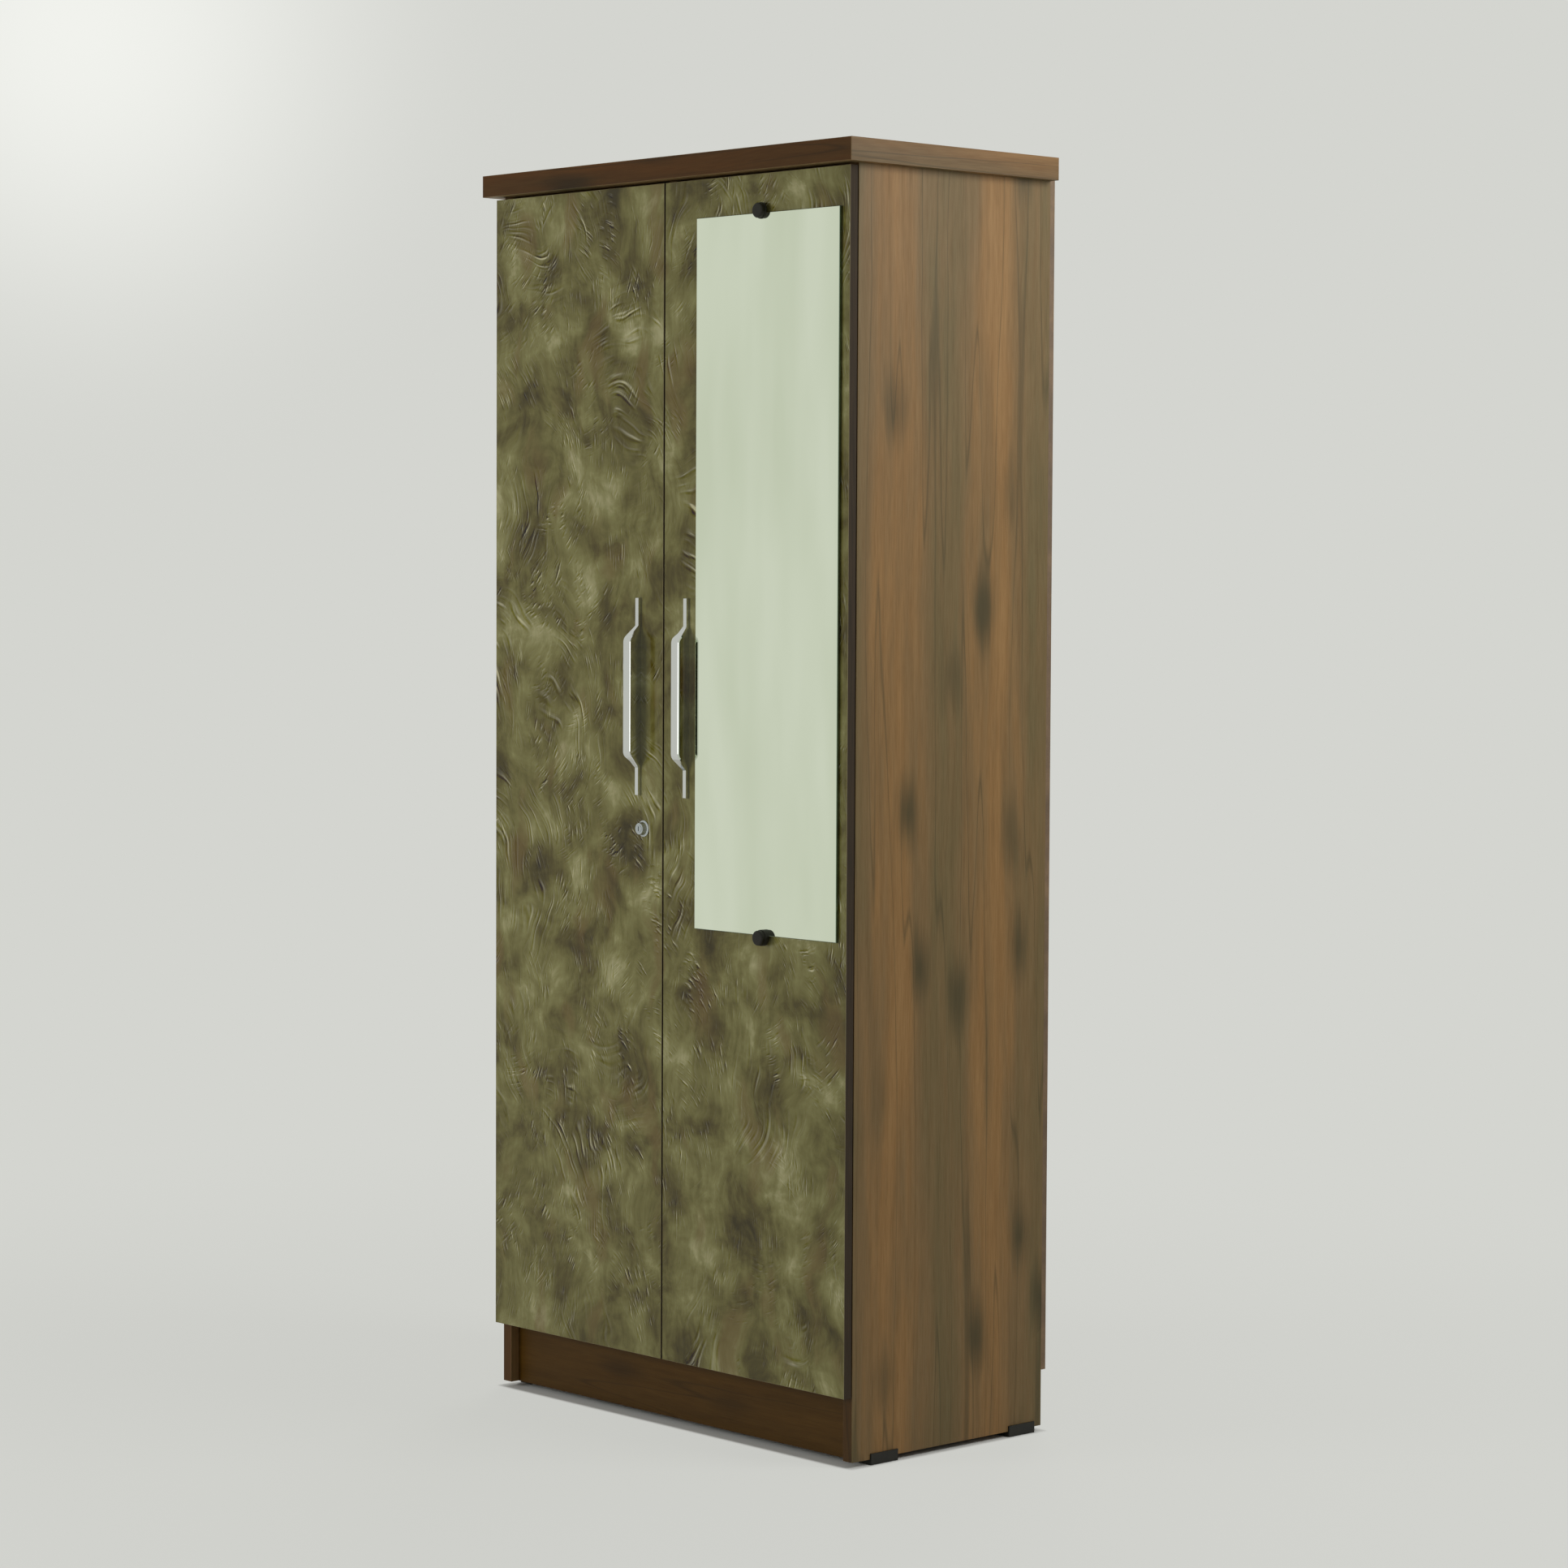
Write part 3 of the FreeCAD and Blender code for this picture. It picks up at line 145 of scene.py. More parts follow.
def plaster_laminate(tree, place):
    """Recipe for a door: the print on its front and back, and the dark band round its edges."""
    axis = add(tree, "SeparateXYZ", [place]).outputs
    face = add(tree, "CombineXYZ", [axis["X"], axis["Z"]])
    # Wet plaster drags: a slow drift, 160 mm across, pulls every cloud and streak along by up to 110 mm.
    drift = add(tree, "TexNoise", {"Vector": face, "Scale": 1 / (160 * MM), "Detail": 2.0})
    pull = 110 * MM
    dragged = add(tree, "VectorMath", [drift.outputs["Color"], (pull, pull, 0), face],
                  operation="MULTIPLY_ADD")
    # Clouds 95 mm wide and a little taller, with streaks 9 mm wide and 50 mm long brushed into them.
    clouds = add(tree, "TexNoise", {
        "Vector": add(tree, "Mapping", {"Vector": dragged, "Scale": unit(95, 105)}),
        "Scale": 1.0, "Detail": 5.0, "Roughness": 0.60,
    })
    streaks = add(tree, "TexNoise", {
        "Vector": add(tree, "Mapping", {"Vector": dragged, "Rotation": (0, 0, math.radians(20)),
                                        "Scale": unit(9, 50)}),
        "Scale": 1.0, "Detail": 4.0, "Roughness": 0.6,
    })
    shade = add(tree, "Mix", [0.16, clouds, streaks])
    olive = add(tree, "ValToRGB", [shade], stops=[
        (0.33, "#332b06"), (0.42, "#4f471d"), (0.50, "#656032"), (0.58, "#787446"), (0.70, "#a39f76"),
    ])
    # Rusty patches, 60 mm wide and 150 mm tall, here and there. Their place in the noise is not the clouds'.
    rust_spread = add(tree, "TexNoise", {
        "Vector": add(tree, "Mapping", {"Vector": dragged, "Location": (5, 2, 0), "Scale": unit(60, 150)}),
        "Scale": 1.0, "Detail": 2.0,
    })
    rust = add(tree, "MapRange", [rust_spread, 0.54, 0.70, 0.0, 0.55], interpolation_type="SMOOTHSTEP")
    ground = add(tree, "Mix", [rust, olive, "#64512a"], data_type="RGBA")

    # Bold marks where the trowel was pressed, fine ones nearly everywhere, and long faint sweeps. They are
    # drawn a little coarser than the print, whose finest lines are 1 mm and wouldn't show.
    bold_relief, bold_painted_light = trowel_marks(tree, face, reach=80, width=3.6, length=18, bow=0.4)
    fine_relief, fine_painted_light = trowel_marks(tree, face, reach=62, width=2.6, length=34, bow=0.25)
    long_relief, long_painted_light = trowel_marks(tree, dragged, reach=170, width=6.0, length=70, bow=0.9)
    faint = add(tree, "Math", [fine_painted_light, long_painted_light], operation="ADD")
    marks = add(tree, "Math", [faint, 0.95, bold_painted_light], operation="MULTIPLY_ADD")
    # The painted light on a mark's lit flank shows more than the painted shade on its dark one.
    weaker = add(tree, "Math", [marks, 0.6], operation="MULTIPLY")
    light = add(tree, "Math", [marks, weaker], operation="MAXIMUM")
    # The flanks' painted light and shade go into the colour, as the printed plaster also shows them.
    painted_flank_light = add(tree, "CombineColor", [add(tree, "Math", [light, 0.5], operation="ADD")] * 3)
    worked = add(tree, "Mix", [0.145, ground, painted_flank_light], data_type="RGBA", blend_type="LINEAR_LIGHT")
    # Painted highlights: pale glints on the brightest lit flanks, where the gloss film catches the light.
    painted_glint = add(tree, "MapRange", [light, 0.2, 0.7, 0.0, 0.8], interpolation_type="SMOOTHSTEP")
    front = add(tree, "Mix", [painted_glint, worked, "#b6af84"], data_type="RGBA")

    # The left and right edges are banded in dark brown plastic. The rounded corners, and with them the top
    # and bottom
    # edges, are pale: a painted highlight.
    band_streaks = add(tree, "TexNoise", {
        "Vector": add(tree, "Mapping", {"Vector": place, "Scale": unit(3, 3, 80)}),
        "Scale": 1.0, "Detail": 2.0,
    })
    band = add(tree, "ValToRGB", [band_streaks], stops=[(0.35, "#281f12"), (0.65, "#35291a")])
    band_and_painted_highlight = add(tree, "Mix", [faces_along(tree, "X"), "#857b5c", band], data_type="RGBA")
    shallow = add(tree, "Math", [fine_relief, long_relief], operation="ADD")
    relief = add(tree, "Math", [shallow, 0.6, bold_relief], operation="MULTIPLY_ADD")
    gloss = add(tree, "MapRange", [clouds, 0.3, 0.7, 0.05, 0.12])
    return {
        "Base Color": add(tree, "Mix", [faces_along(tree, "Y"), band_and_painted_highlight, front], data_type="RGBA"),
        "Roughness": add(tree, "Mix", [faces_along(tree, "Y"), 0.85, gloss]),
        "Normal": add(tree, "Bump", {"Height": relief, "Distance": 0.25 * MM, "Strength": 0.24}),
    }


# ---------------------------------------------------------------------------------- cabinet boards
# Melamine-faced particleboard with a printed walnut decor under a satin film, edge-banded to match.
# Broad warm and grey-green bands run the length of a board, with fine pores and soft dark knots.

outer_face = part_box("right_side_panel")[1][0]


def walnut_board(upright, edges, shades):
    """Recipe for a board with its grain upright, or else along its length.

    edges is the painted shade that its front and back edges are multiplied by; shades are the print's five
    colours from knot to light streak.
    """
    knot, grey, brown, orange, light = shades

    def recipe(tree, place):
        axis = add(tree, "SeparateXYZ", [place]).outputs
        if upright:
            from_outside = add(tree, "Math", [axis["X"], outer_face], operation="SUBTRACT")
            across = add(tree, "Math", [axis["Y"], from_outside], operation="ADD")
            along = axis["Z"]
        else:
            # On the end of a level board the band's grain runs from front to back.
            on_end = faces_along(tree, "X")
            round_front = add(tree, "Math", [axis["Y"], axis["Z"]], operation="ADD")
            across = add(tree, "Mix", [on_end, round_front, axis["Z"]])
            along = add(tree, "Mix", [on_end, axis["X"], axis["Y"]])
        grain = add(tree, "CombineXYZ", [across, along])

        # Each line wanders 10 mm over about half a metre.
        wander = add(tree, "TexNoise", {
            "Vector": add(tree, "Mapping", {"Vector": grain, "Scale": unit(120, 450)}),
            "Scale": 1.0, "Detail": 2.0,
        })
        sway = add(tree, "VectorMath", [wander.outputs["Color"], (-0.5, -0.5, 0)], operation="ADD")
        grown = add(tree, "VectorMath", [sway, (22 * MM, 0, 0), grain], operation="MULTIPLY_ADD")

        # Planks are printed 195 mm wide, warm in the middle of each and grey-green where they meet.
        over = add(tree, "SeparateXYZ", [grown]).outputs["X"]
        turn = add(tree, "Math", [over, 2 * math.pi / (195 * MM)], operation="MULTIPLY")
        planks = add(tree, "Math", [turn], operation="COSINE")
        warmth = add(tree, "MapRange", [planks, 1.0, -1.0, 0.22, 0.62])
        blotches = add(tree, "TexNoise", {
            "Vector": add(tree, "Mapping", {"Vector": grown, "Scale": unit(32, 360)}),
            "Scale": 1.0, "Detail": 3.0, "Roughness": 0.5,
        })
        tone = add(tree, "Mix", [0.45, warmth, blotches])
        wood = add(tree, "ValToRGB", [tone], stops=[
            (0.28, grey), (0.45, brown), (0.58, orange), (0.74, light),
        ])

        # Pores are 0.3 mm wide, drawn 1.2 mm wide so that they show.
        pores = add(tree, "TexNoise", {
            "Vector": add(tree, "Mapping", {"Vector": grown, "Scale": unit(1.2, 45)}),
            "Scale": 1.0, "Detail": 3.0, "Roughness": 0.65,
        })
        streaks = add(tree, "TexNoise", {
            "Vector": add(tree, "Mapping", {"Vector": grown, "Scale": unit(7, 260)}),
            "Scale": 1.0, "Detail": 2.0,
        })
        fibre = add(tree, "Mix", [0.35, pores, streaks])
        fibre_shade = add(tree, "ValToRGB", [fibre], stops=[(0.36, "#e2dcd2"), (0.60, "#ffffff")])
        wood = add(tree, "Mix", [1.0, wood, fibre_shade], data_type="RGBA", blend_type="MULTIPLY")

        # Long hairlines, where a vein of the print stays level with itself for half a metre.
        vein = add(tree, "TexNoise", {
            "Vector": add(tree, "Mapping", {"Vector": grown, "Location": (3, 0, 0), "Scale": unit(50, 1500)}),
            "Scale": 1.0, "Detail": 1.0,
        })
        past_vein = add(tree, "Math", [vein, 0.5], operation="SUBTRACT")
        from_vein = add(tree, "Math", [past_vein], operation="ABSOLUTE")
        hairline = add(tree, "MapRange", [from_vein, 0.0, 0.009, 0.5, 0.0])
        wood = add(tree, "Mix", [hairline, wood, knot], data_type="RGBA")

        # Every second cell of 120 by 290 mm has a knot: a soft dark eye, drawn out along the grain.
        cells = add(tree, "Mapping", {"Vector": grown, "Location": (0.3, 0.1, 0), "Scale": unit(120, 290)})
        eye = add(tree, "TexVoronoi", {"Vector": cells, "Scale": 1.0}, voronoi_dimensions="2D")
        ragged = add(tree, "Math", [blotches, 0.35, eye], operation="MULTIPLY_ADD")
        soft_eye = add(tree, "MapRange", [ragged, 0.16, 0.44, 0.85, 0.0], interpolation_type="SMOOTHSTEP")
        chance = add(tree, "SeparateColor", [eye.outputs["Color"]])
        grows = add(tree, "MapRange", [chance.outputs["Red"], 0.20, 0.60])
        eyes = add(tree, "Math", [soft_eye, grows], operation="MULTIPLY")
        wood = add(tree, "Mix", [eyes, wood, knot], data_type="RGBA")

        # The front and back edges are painted darker than the faces: painted shade for the dimmer light at
        # the front.
        # The end faces of a level board are made a little darker too.
        ends = "#ffffff" if upright else "#e6e0d8"
        edge_darkening = add(tree, "Mix", [faces_along(tree, "X"), "#ffffff", ends], data_type="RGBA")
        edge_darkening = add(tree, "Mix", [faces_along(tree, "Y"), edge_darkening, edges], data_type="RGBA")
        return {
            "Base Color": add(tree, "Mix", [1.0, wood, edge_darkening], data_type="RGBA", blend_type="MULTIPLY"),
            "Roughness": add(tree, "MapRange", [fibre, 0.3, 0.7, 0.56, 0.46]),
            "Normal": add(tree, "Bump", {"Height": pores, "Distance": 0.04 * MM}),
        }

    return recipe


# ---------------------------------------------------------------------------------- fittings
lock_face = (Vector(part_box("lock_plug")[0]) + Vector(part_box("lock_plug")[1])) / 2


def polished_chrome(tree, place):
    """Zinc casting or steel tube, polished and chrome-plated: mirror-like, with faint wiping marks."""
    wiped = add(tree, "TexNoise", {"Vector": place, "Scale": 1 / (18 * MM), "Detail": 4.0, "Roughness": 0.6})
    # Polishing leaves the casting a little wavy, every 15 mm or so.
    wave = add(tree, "TexNoise", {"Vector": place, "Scale": 1 / (15 * MM), "Detail": 1.0})
    return {
        "Roughness": add(tree, "MapRange", [wiped, 0.3, 0.7, 0.03, 0.08]),
        "Normal": add(tree, "Bump", {"Height": wave, "Distance": 0.03 * MM}),
    }


def turned_nickel(tree, place):
    """Brass turned in a lathe and nickel-plated: soft silver with rings about the middle."""
    centred = add(tree, "VectorMath", [place, lock_face], operation="SUBTRACT")
    # Rings are 0.1 mm apart, drawn 0.8 mm apart so that they show. A wave repeats every 0.314 of its unit.
    rings = add(tree, "TexWave", {
        "Vector": centred, "Scale": 0.314 / (0.8 * MM), "Distortion": 0.6, "Detail": 1.0,
    }, wave_type="RINGS", rings_direction="Y")
    return {
        "Base Color": add(tree, "ValToRGB", [rings], stops=[(0.0, "#aeb4b6"), (1.0, "#c9ced0")]),
        "Roughness": add(tree, "MapRange", [rings, 0.0, 1.0, 0.20, 0.28]),
        "Normal": add(tree, "Bump", {"Height": rings, "Distance": 0.02 * MM}),
    }


def zinc_plate(tree, place):
    """Steel screws and pins, zinc-plated and blue-passivated: frosted grey, clouded blue to straw."""
    clouds = add(tree, "TexNoise", {"Vector": place, "Scale": 1 / (5 * MM), "Detail": 3.0})
    # The plating's crystals are 0.05 mm, drawn at 0.6 mm so that they show.
    crystals = add(tree, "TexVoronoi", {"Vector": place, "Scale": 1 / (0.6 * MM)})
    return {
        "Base Color": add(tree, "ValToRGB", [clouds], stops=[(0.35, "#aab1b9"), (0.65, "#bdb9a6")]),
        "Roughness": add(tree, "MapRange", [crystals, 0.0, 1.0, 0.28, 0.42]),
        "Normal": add(tree, "Bump", {"Height": crystals, "Distance": 0.01 * MM}),
    }


def pressed_nickel(tree, place):
    """Steel strip, pressed to shape and nickel-plated: warm silver with faint lines from the rolling mill."""
    # The mill's lines are 0.1 mm wide, drawn at 0.9 mm so that they show.
    rolled = add(tree, "TexNoise", {
        "Vector": add(tree, "Mapping", {"Vector": place, "Scale": unit(0.9, 30, 0.9)}),
        "Scale": 1.0, "Detail": 3.0,
    })
    return {
        "Base Color": add(tree, "ValToRGB", [rolled], stops=[(0.3, "#aaa9a4"), (0.7, "#c5c4be")]),
        "Roughness": add(tree, "MapRange", [rolled, 0.3, 0.7, 0.22, 0.32]),
        "Normal": add(tree, "Bump", {"Height": rolled, "Distance": 0.01 * MM}),
    }


def bare_casting(tree, place):
    """Zinc die-casting as it leaves the die: dull grey with flow marks 4 mm across."""
    flow = add(tree, "TexNoise", {"Vector": place, "Scale": 1 / (4 * MM), "Detail": 4.0, "Distortion": 1.0})
    return {
        "Base Color": add(tree, "ValToRGB", [flow], stops=[(0.3, "#8b8d8f"), (0.7, "#a6a8a9")]),
        "Roughness": add(tree, "MapRange", [flow, 0.3, 0.7, 0.38, 0.52]),
        "Normal": add(tree, "Bump", {"Height": flow, "Distance": 0.03 * MM}),
    }


def plated_plastic(tree, place):
    """ABS moulding with a thin bright plating: silver, softened by the moulding's slight sink marks."""
    sink = add(tree, "TexNoise", {"Vector": place, "Scale": 1 / (9 * MM), "Detail": 2.0})
    return {
        "Roughness": add(tree, "MapRange", [sink, 0.3, 0.7, 0.10, 0.20]),
        "Normal": add(tree, "Bump", {"Height": sink, "Distance": 0.05 * MM}),
    }


def silvered_glass(tree, place):
    """Float glass, 4 mm thick, silvered on the back: a flat mirror with the green cast of its iron."""
    # The silver is faintly clouded, in upright bands 90 mm wide and 400 mm tall.
    cloud = add(tree, "TexNoise", {
        "Vector": add(tree, "Mapping", {"Vector": place, "Scale": unit(90, 90, 400)}),
        "Scale": 1.0, "Detail": 2.0,
    })
    silver = add(tree, "ValToRGB", [cloud], stops=[(0.35, "#e6efd8"), (0.65, "#f0f8e4")])
    # The ground edge is the glass itself, and darker.
    return {"Base Color": add(tree, "Mix", [faces_along(tree, "Y"), "#7d8f7c", silver], data_type="RGBA")}


def moulded_black(tree, place):
    """Black polypropylene, injection-moulded in a spark-eroded tool: satin, with a fine even grain."""
    # The grain is 0.15 mm, drawn at 0.8 mm so that it shows.
    grain = add(tree, "TexNoise", {"Vector": place, "Scale": 1 / (0.8 * MM), "Detail": 2.0})
    scuffs = add(tree, "TexNoise", {"Vector": place, "Scale": 1 / (12 * MM), "Detail": 4.0})
    return {
        "Base Color": add(tree, "ValToRGB", [scuffs], stops=[(0.40, "#13120b"), (0.70, "#211f17")]),
        "Roughness": add(tree, "MapRange", [scuffs, 0.3, 0.7, 0.38, 0.55]),
        "Normal": add(tree, "Bump", {"Height": grain, "Distance": 0.04 * MM}),
    }


def foamed_tape(tree, place):
    """Polyethylene foam tape: off-white, with open cells 0.8 mm across at its cut edge."""
    cells = add(tree, "TexVoronoi", {"Vector": place, "Scale": 1 / (0.8 * MM)})
    return {
        "Base Color": add(tree, "ValToRGB", [cells], stops=[(0.1, "#dcdad2"), (0.7, "#bdbab0")]),
        "Normal": add(tree, "Bump", {"Height": cells, "Distance": 0.1 * MM}),
    }


def cast_bumper(tree, place):
    """Clear polyurethane dots, cast on a sheet: milky, soft, with a slightly uneven skin."""
    skin = add(tree, "TexNoise", {"Vector": place, "Scale": 1 / (3 * MM), "Detail": 2.0})
    return {
        "Base Color": add(tree, "ValToRGB", [skin], stops=[(0.3, "#c9c8c0"), (0.7, "#dad9d2")]),
        "Normal": add(tree, "Bump", {"Height": skin, "Distance": 0.03 * MM}),
    }


def turned_beech(tree, place):
    """Beech dowels, turned and fluted: pale wood with short dark flecks along the grain."""
    flecks = add(tree, "TexNoise", {
        "Vector": add(tree, "Mapping", {"Vector": place, "Scale": unit(3, 0.7, 0.7)}),
        "Scale": 1.0, "Detail": 3.0,
    })
    return {
        "Base Color": add(tree, "ValToRGB", [flecks], stops=[
            (0.3, "#96703f"), (0.5, "#bb9464"), (0.7, "#caa878"),
        ]),
        "Normal": add(tree, "Bump", {"Height": flecks, "Distance": 0.05 * MM}),
    }


def back_hardboard(tree, place):
    """Hardboard pressed from wood fibre and rolled with brown lacquer: flat brown, mottled, fine fibre."""
    mottle = add(tree, "TexNoise", {"Vector": place, "Scale": 1 / (40 * MM), "Detail": 5.0, "Roughness": 0.6})
    # Fibres are 0.2 mm thick, drawn at 1.5 mm so that they show.
    fibres = add(tree, "TexNoise", {
        "Vector": place, "Scale": 1 / (1.5 * MM), "Detail": 3.0, "Distortion": 2.0,
    })
    blend = add(tree, "Mix", [0.35, mottle, fibres])
    return {
        "Base Color": add(tree, "ValToRGB", [blend], stops=[
            (0.35, "#54422c"), (0.50, "#66513a"), (0.65, "#7a6246"),
        ]),
        "Roughness": add(tree, "MapRange", [mottle, 0.3, 0.7, 0.55, 0.68]),
        "Normal": add(tree, "Bump", {"Height": fibres, "Distance": 0.06 * MM}),
    }


# ---------------------------------------------------------------------------------- dressing
# Each print's colours are its knot, the grey-green at the joints, brown, orange and the light streak.
WALNUT = ("#3d3822", "#6a5d3d", "#7a6341", "#8d6c42", "#9f7d51")
# The plinth's colours are the walnut print painted darker: painted shade for the dimmer light on its recessed
# front.
WALNUT_IN_PAINTED_SHADE = ("#261803", "#372405", "#402b07", "#47300a", "#51370f")
# Painted shade: the front and back edges of the walnut boards are multiplied by this.
FRONT_EDGE_SHADE = "#9c8052"
SATIN = {"IOR": 1.5, "Specular_IOR_Level": 0.2}

upright_walnut = finish("walnut_board_upright", walnut_board(True, FRONT_EDGE_SHADE, WALNUT), **SATIN)
level_walnut = finish("walnut_board_level", walnut_board(False, FRONT_EDGE_SHADE, WALNUT), **SATIN)
# Painted shade: the plinth takes the darker colours.
walnut_in_painted_shade = finish("walnut_plinth_in_painted_shade", walnut_board(False, "#ffffff", WALNUT_IN_PAINTED_SHADE),
                     IOR=1.5, Specular_IOR_Level=0.16)
chrome = finish("polished_chrome", polished_chrome, Base_Color="#dcdedb", Metallic=1.0)

finishes = {
    "door_laminate": finish("plaster_laminate", plaster_laminate, IOR=1.5, Specular_IOR_Level=0.33),
    "walnut_laminate": upright_walnut,
    "plinth_laminate": walnut_in_painted_shade,
    "back_board": finish("back_hardboard", back_hardboard, IOR=1.5),
    "handle_chrome": chrome,
    "rail_chrome": chrome,
    "lock_nickel": finish("turned_nickel", turned_nickel, Metallic=1.0),
    "zinc_steel": finish("zinc_plate", zinc_plate, Metallic=1.0),
    "hinge_steel": finish("pressed_nickel", pressed_nickel, Metallic=1.0),
    "cam_zinc": finish("bare_casting", bare_casting, Metallic=1.0),
    "socket_plastic": finish("plated_plastic", plated_plastic, Base_Color="#c9cacb", Metallic=1.0),
    "mirror": finish("silvered_glass", silvered_glass, Metallic=1.0, Roughness=0.012),
    "foam_tape": finish("foamed_tape", foamed_tape, Roughness=0.9, IOR=1.5),
    "black_plastic": finish("moulded_black", moulded_black, IOR=1.49, Specular_IOR_Level=0.3),
    "bumper_rubber": finish("cast_bumper", cast_bumper, Roughness=0.35, IOR=1.5),
    "beech": finish("turned_beech", turned_beech, Roughness=0.6),
}
level_boards = {"top_board", "bottom_board", "hat_shelf", "shoe_shelf"}
level_boards |= {name for name in frame["nodes"] if name.startswith("left_shelf")}

for part in frame["record"]["subparts"]:
    piece = frame["nodes"][part["node"]]
    piece.data.materials.clear()
    surface = level_walnut if part["node"] in level_boards else finishes[part["material_slot"]]
    piece.data.materials.append(surface)


# ---------------------------------------------------------------------------------- camera
AZIMUTH = math.radians(47.258)
ELEVATION = math.radians(3.013)
ROLL = math.radians(0.271)
DISTANCE = 5.940
AIM = Vector((0.0229, 0.0270, 0.9284))
SENSOR = 36.0
LENS = 92.64


def direction(azimuth, elevation):
    """Unit vector from the wardrobe. Azimuth 0 is straight out from its doors, 90 from its right side."""
    level = math.cos(elevation)
    return Vector((math.sin(azimuth) * level, -math.cos(azimuth) * level, math.sin(elevation)))


towards_camera = direction(AZIMUTH, ELEVATION)
camera_data = bpy.data.cameras.new("camera")
camera_data.sensor_width = SENSOR
camera_data.lens = LENS
camera = bpy.data.objects.new("camera", camera_data)
bpy.context.scene.collection.objects.link(camera)
stand = Matrix.Translation(AIM + towards_camera * DISTANCE)
turned = towards_camera.to_track_quat("Z", "Y").to_matrix().to_4x4()
camera.matrix_world = stand @ turned @ Matrix.Rotation(ROLL, 4, "Z")
bpy.context.scene.camera = camera
bpy.context.scene.view_settings.view_transform = "Standard"


# ---------------------------------------------------------------------------------- room
BACKDROP = "#d4d5d0"
ROOM_LIGHT = 0.26
# A painted glow on the wall, as from a lamp off to the left: how far left of the wardrobe, how high and how
# wide it looks.
GLOW_LEFT = math.radians(9.9)
GLOW_UP = math.radians(7.5)
GLOW_SPREAD = math.radians(7.5)


def seen_plainly(tree):
    """1 for rays that show the backdrop itself: straight, in a mirror or through glass."""
    rays = add(tree, "LightPath").outputs
    reflected = add(tree, "Math", [rays["Is Camera Ray"], rays["Is Glossy Ray"]], operation="MAXIMUM")
    return add(tree, "Math", [reflected, rays["Is Transmission Ray"]], operation="MAXIMUM")


world = bpy.data.worlds.new("room")
world.use_nodes = True
walls = world.node_tree
walls.nodes.clear()
sight = add(walls, "TexCoord").outputs["Generated"]
# Painted light: the wall seen plainly is brighter round this point, though no lamp stands there.
glow_middle = direction(AZIMUTH + math.pi + GLOW_LEFT, GLOW_UP)
near_glow = add(walls, "VectorMath", [sight, tuple(glow_middle)], operation="DOT_PRODUCT")
within = add(walls, "MapRange", [near_glow, math.cos(GLOW_SPREAD), 1.0])
painted_glow = add(walls, "Math", [within, 4.0], operation="POWER")
wall_colour = add(walls, "Mix", [painted_glow, BACKDROP, "#f1f2ed"], data_type="RGBA")
lit_air = add(walls, "Background", {"Color": "#ffffff", "Strength": ROOM_LIGHT})
seen_wall = add(walls, "Background", {"Color": wall_colour, "Strength": 1.0})
add(walls, "OutputWorld", [add(walls, "MixShader", [seen_plainly(walls), lit_air, seen_wall])])
bpy.context.scene.world = world

# The floor is pale paper. Seen plainly it takes the wall's colour with distance, so no horizon shows.
# Near the wardrobe it keeps part of its own shading, and all of it in the deep shadow at the foot.
FLOOR_RADIUS = 60.0
FLOOR_SIDES = 64
DEEP_SHADOW = 12 * MM
OWN_SHADING_TO = 0.2
PLAIN_FROM = 2.5
PLAIN_SHARE_NEAR = 0.82
floor_mesh = bpy.data.meshes.new("floor")
rim_angles = [2 * math.pi * side / FLOOR_SIDES for side in range(FLOOR_SIDES)]
floor_mesh.from_pydata(
    [(FLOOR_RADIUS * math.cos(angle), FLOOR_RADIUS * math.sin(angle), 0.0) for angle in rim_angles],
    [], [range(FLOOR_SIDES)],
)
floor = bpy.data.objects.new("floor", floor_mesh)
bpy.context.scene.collection.objects.link(floor)

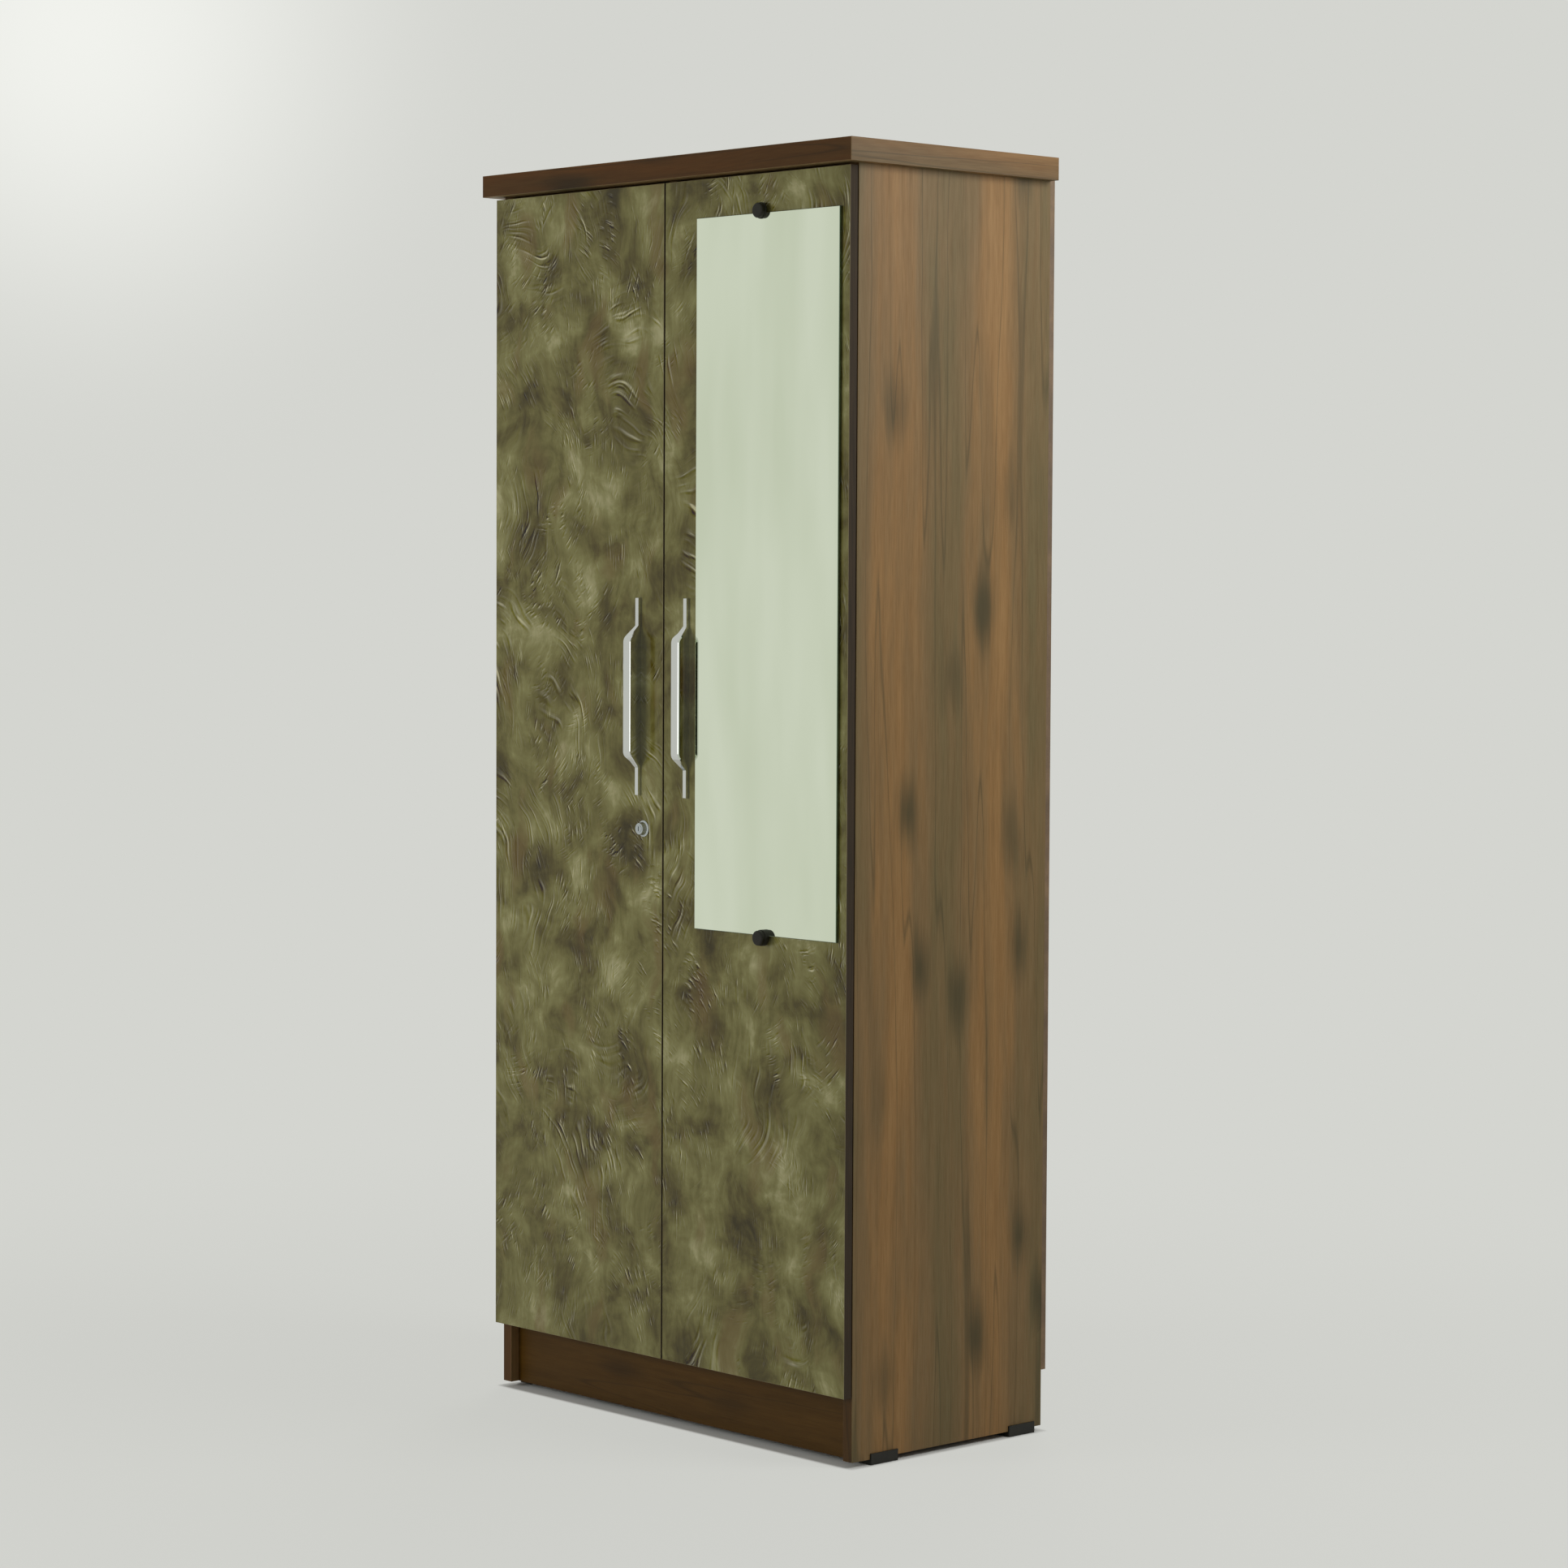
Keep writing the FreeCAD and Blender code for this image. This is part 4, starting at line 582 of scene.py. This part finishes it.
paper = bpy.data.materials.new("paper")
paper.use_nodes = True
sheet = paper.node_tree
sheet.nodes.clear()
place = add(sheet, "TexCoord").outputs["Object"]
fibres = add(sheet, "TexNoise", {"Vector": place, "Scale": 1 / (2 * MM), "Detail": 2.0})
tint = add(sheet, "ValToRGB", [fibres], stops=[(0.3, "#d9dad5"), (0.7, "#dcddd8")])
lit_paper = add(sheet, "BsdfDiffuse", [tint])
far_paper = add(sheet, "Emission", {"Color": BACKDROP, "Strength": 1.0})
base_from, base_to = Vector(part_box("left_side_panel")[0]), Vector(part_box("right_side_panel")[1])
middle = (base_from + base_to) / 2
half = (base_to - base_from) / 2
from_middle = add(sheet, "VectorMath", [place, (middle.x, middle.y, 0)], operation="SUBTRACT")
either_side = add(sheet, "VectorMath", [from_middle], operation="ABSOLUTE")
past_foot = add(sheet, "VectorMath", [either_side, (half.x, half.y, 1.0)], operation="SUBTRACT")
outside = add(sheet, "VectorMath", [past_foot, (0, 0, 0)], operation="MAXIMUM")
away = add(sheet, "VectorMath", [outside], operation="LENGTH")
clear_of_foot = add(sheet, "MapRange", [away, 0.0, DEEP_SHADOW], interpolation_type="SMOOTHSTEP")
far_share = add(sheet, "MapRange", [away, OWN_SHADING_TO, PLAIN_FROM, PLAIN_SHARE_NEAR, 1.0],
                interpolation_type="SMOOTHSTEP")
fading = add(sheet, "Math", [clear_of_foot, far_share], operation="MULTIPLY")
plain_share = add(sheet, "Math", [fading, seen_plainly(sheet)], operation="MULTIPLY")
add(sheet, "OutputMaterial", [add(sheet, "MixShader", [plain_share, lit_paper, far_paper])])
floor_mesh.materials.append(paper)


def softbox(name, place, aim, size, power, in_reflections):
    """Diffused lamp, width by height, turned towards the point it lights."""
    lamp = bpy.data.lights.new(name, "AREA")
    lamp.shape = "RECTANGLE"
    lamp.size, lamp.size_y = size
    lamp.energy = power
    made = bpy.data.objects.new(name, lamp)
    made.location = place
    made.rotation_euler = (Vector(place) - Vector(aim)).to_track_quat("Z", "Y").to_euler()
    made.visible_camera = False
    made.visible_glossy = in_reflections
    bpy.context.scene.collection.objects.link(made)


# The key rakes the right side from above, the fill lights the doors, and the back fill the rear.
softbox("key", (2.0, 0.8, 2.3), (0.4, 0.1, 1.5), (1.2, 1.2), 35, True)
softbox("fill", (-1.6, -4.2, 1.4), (0, 0, 0.9), (1.8, 2.4), 98, False)
softbox("back_fill", (-2.8, 3.8, 2.2), (0, 0, 0.9), (2.0, 2.0), 90, False)
# Behind the camera: it only draws the bright line along bevelled and rounded edges.
softbox("edge_light", (4.2, -5.1, 1.0), (0, 0, 1.0), (0.5, 2.4), 6, True)
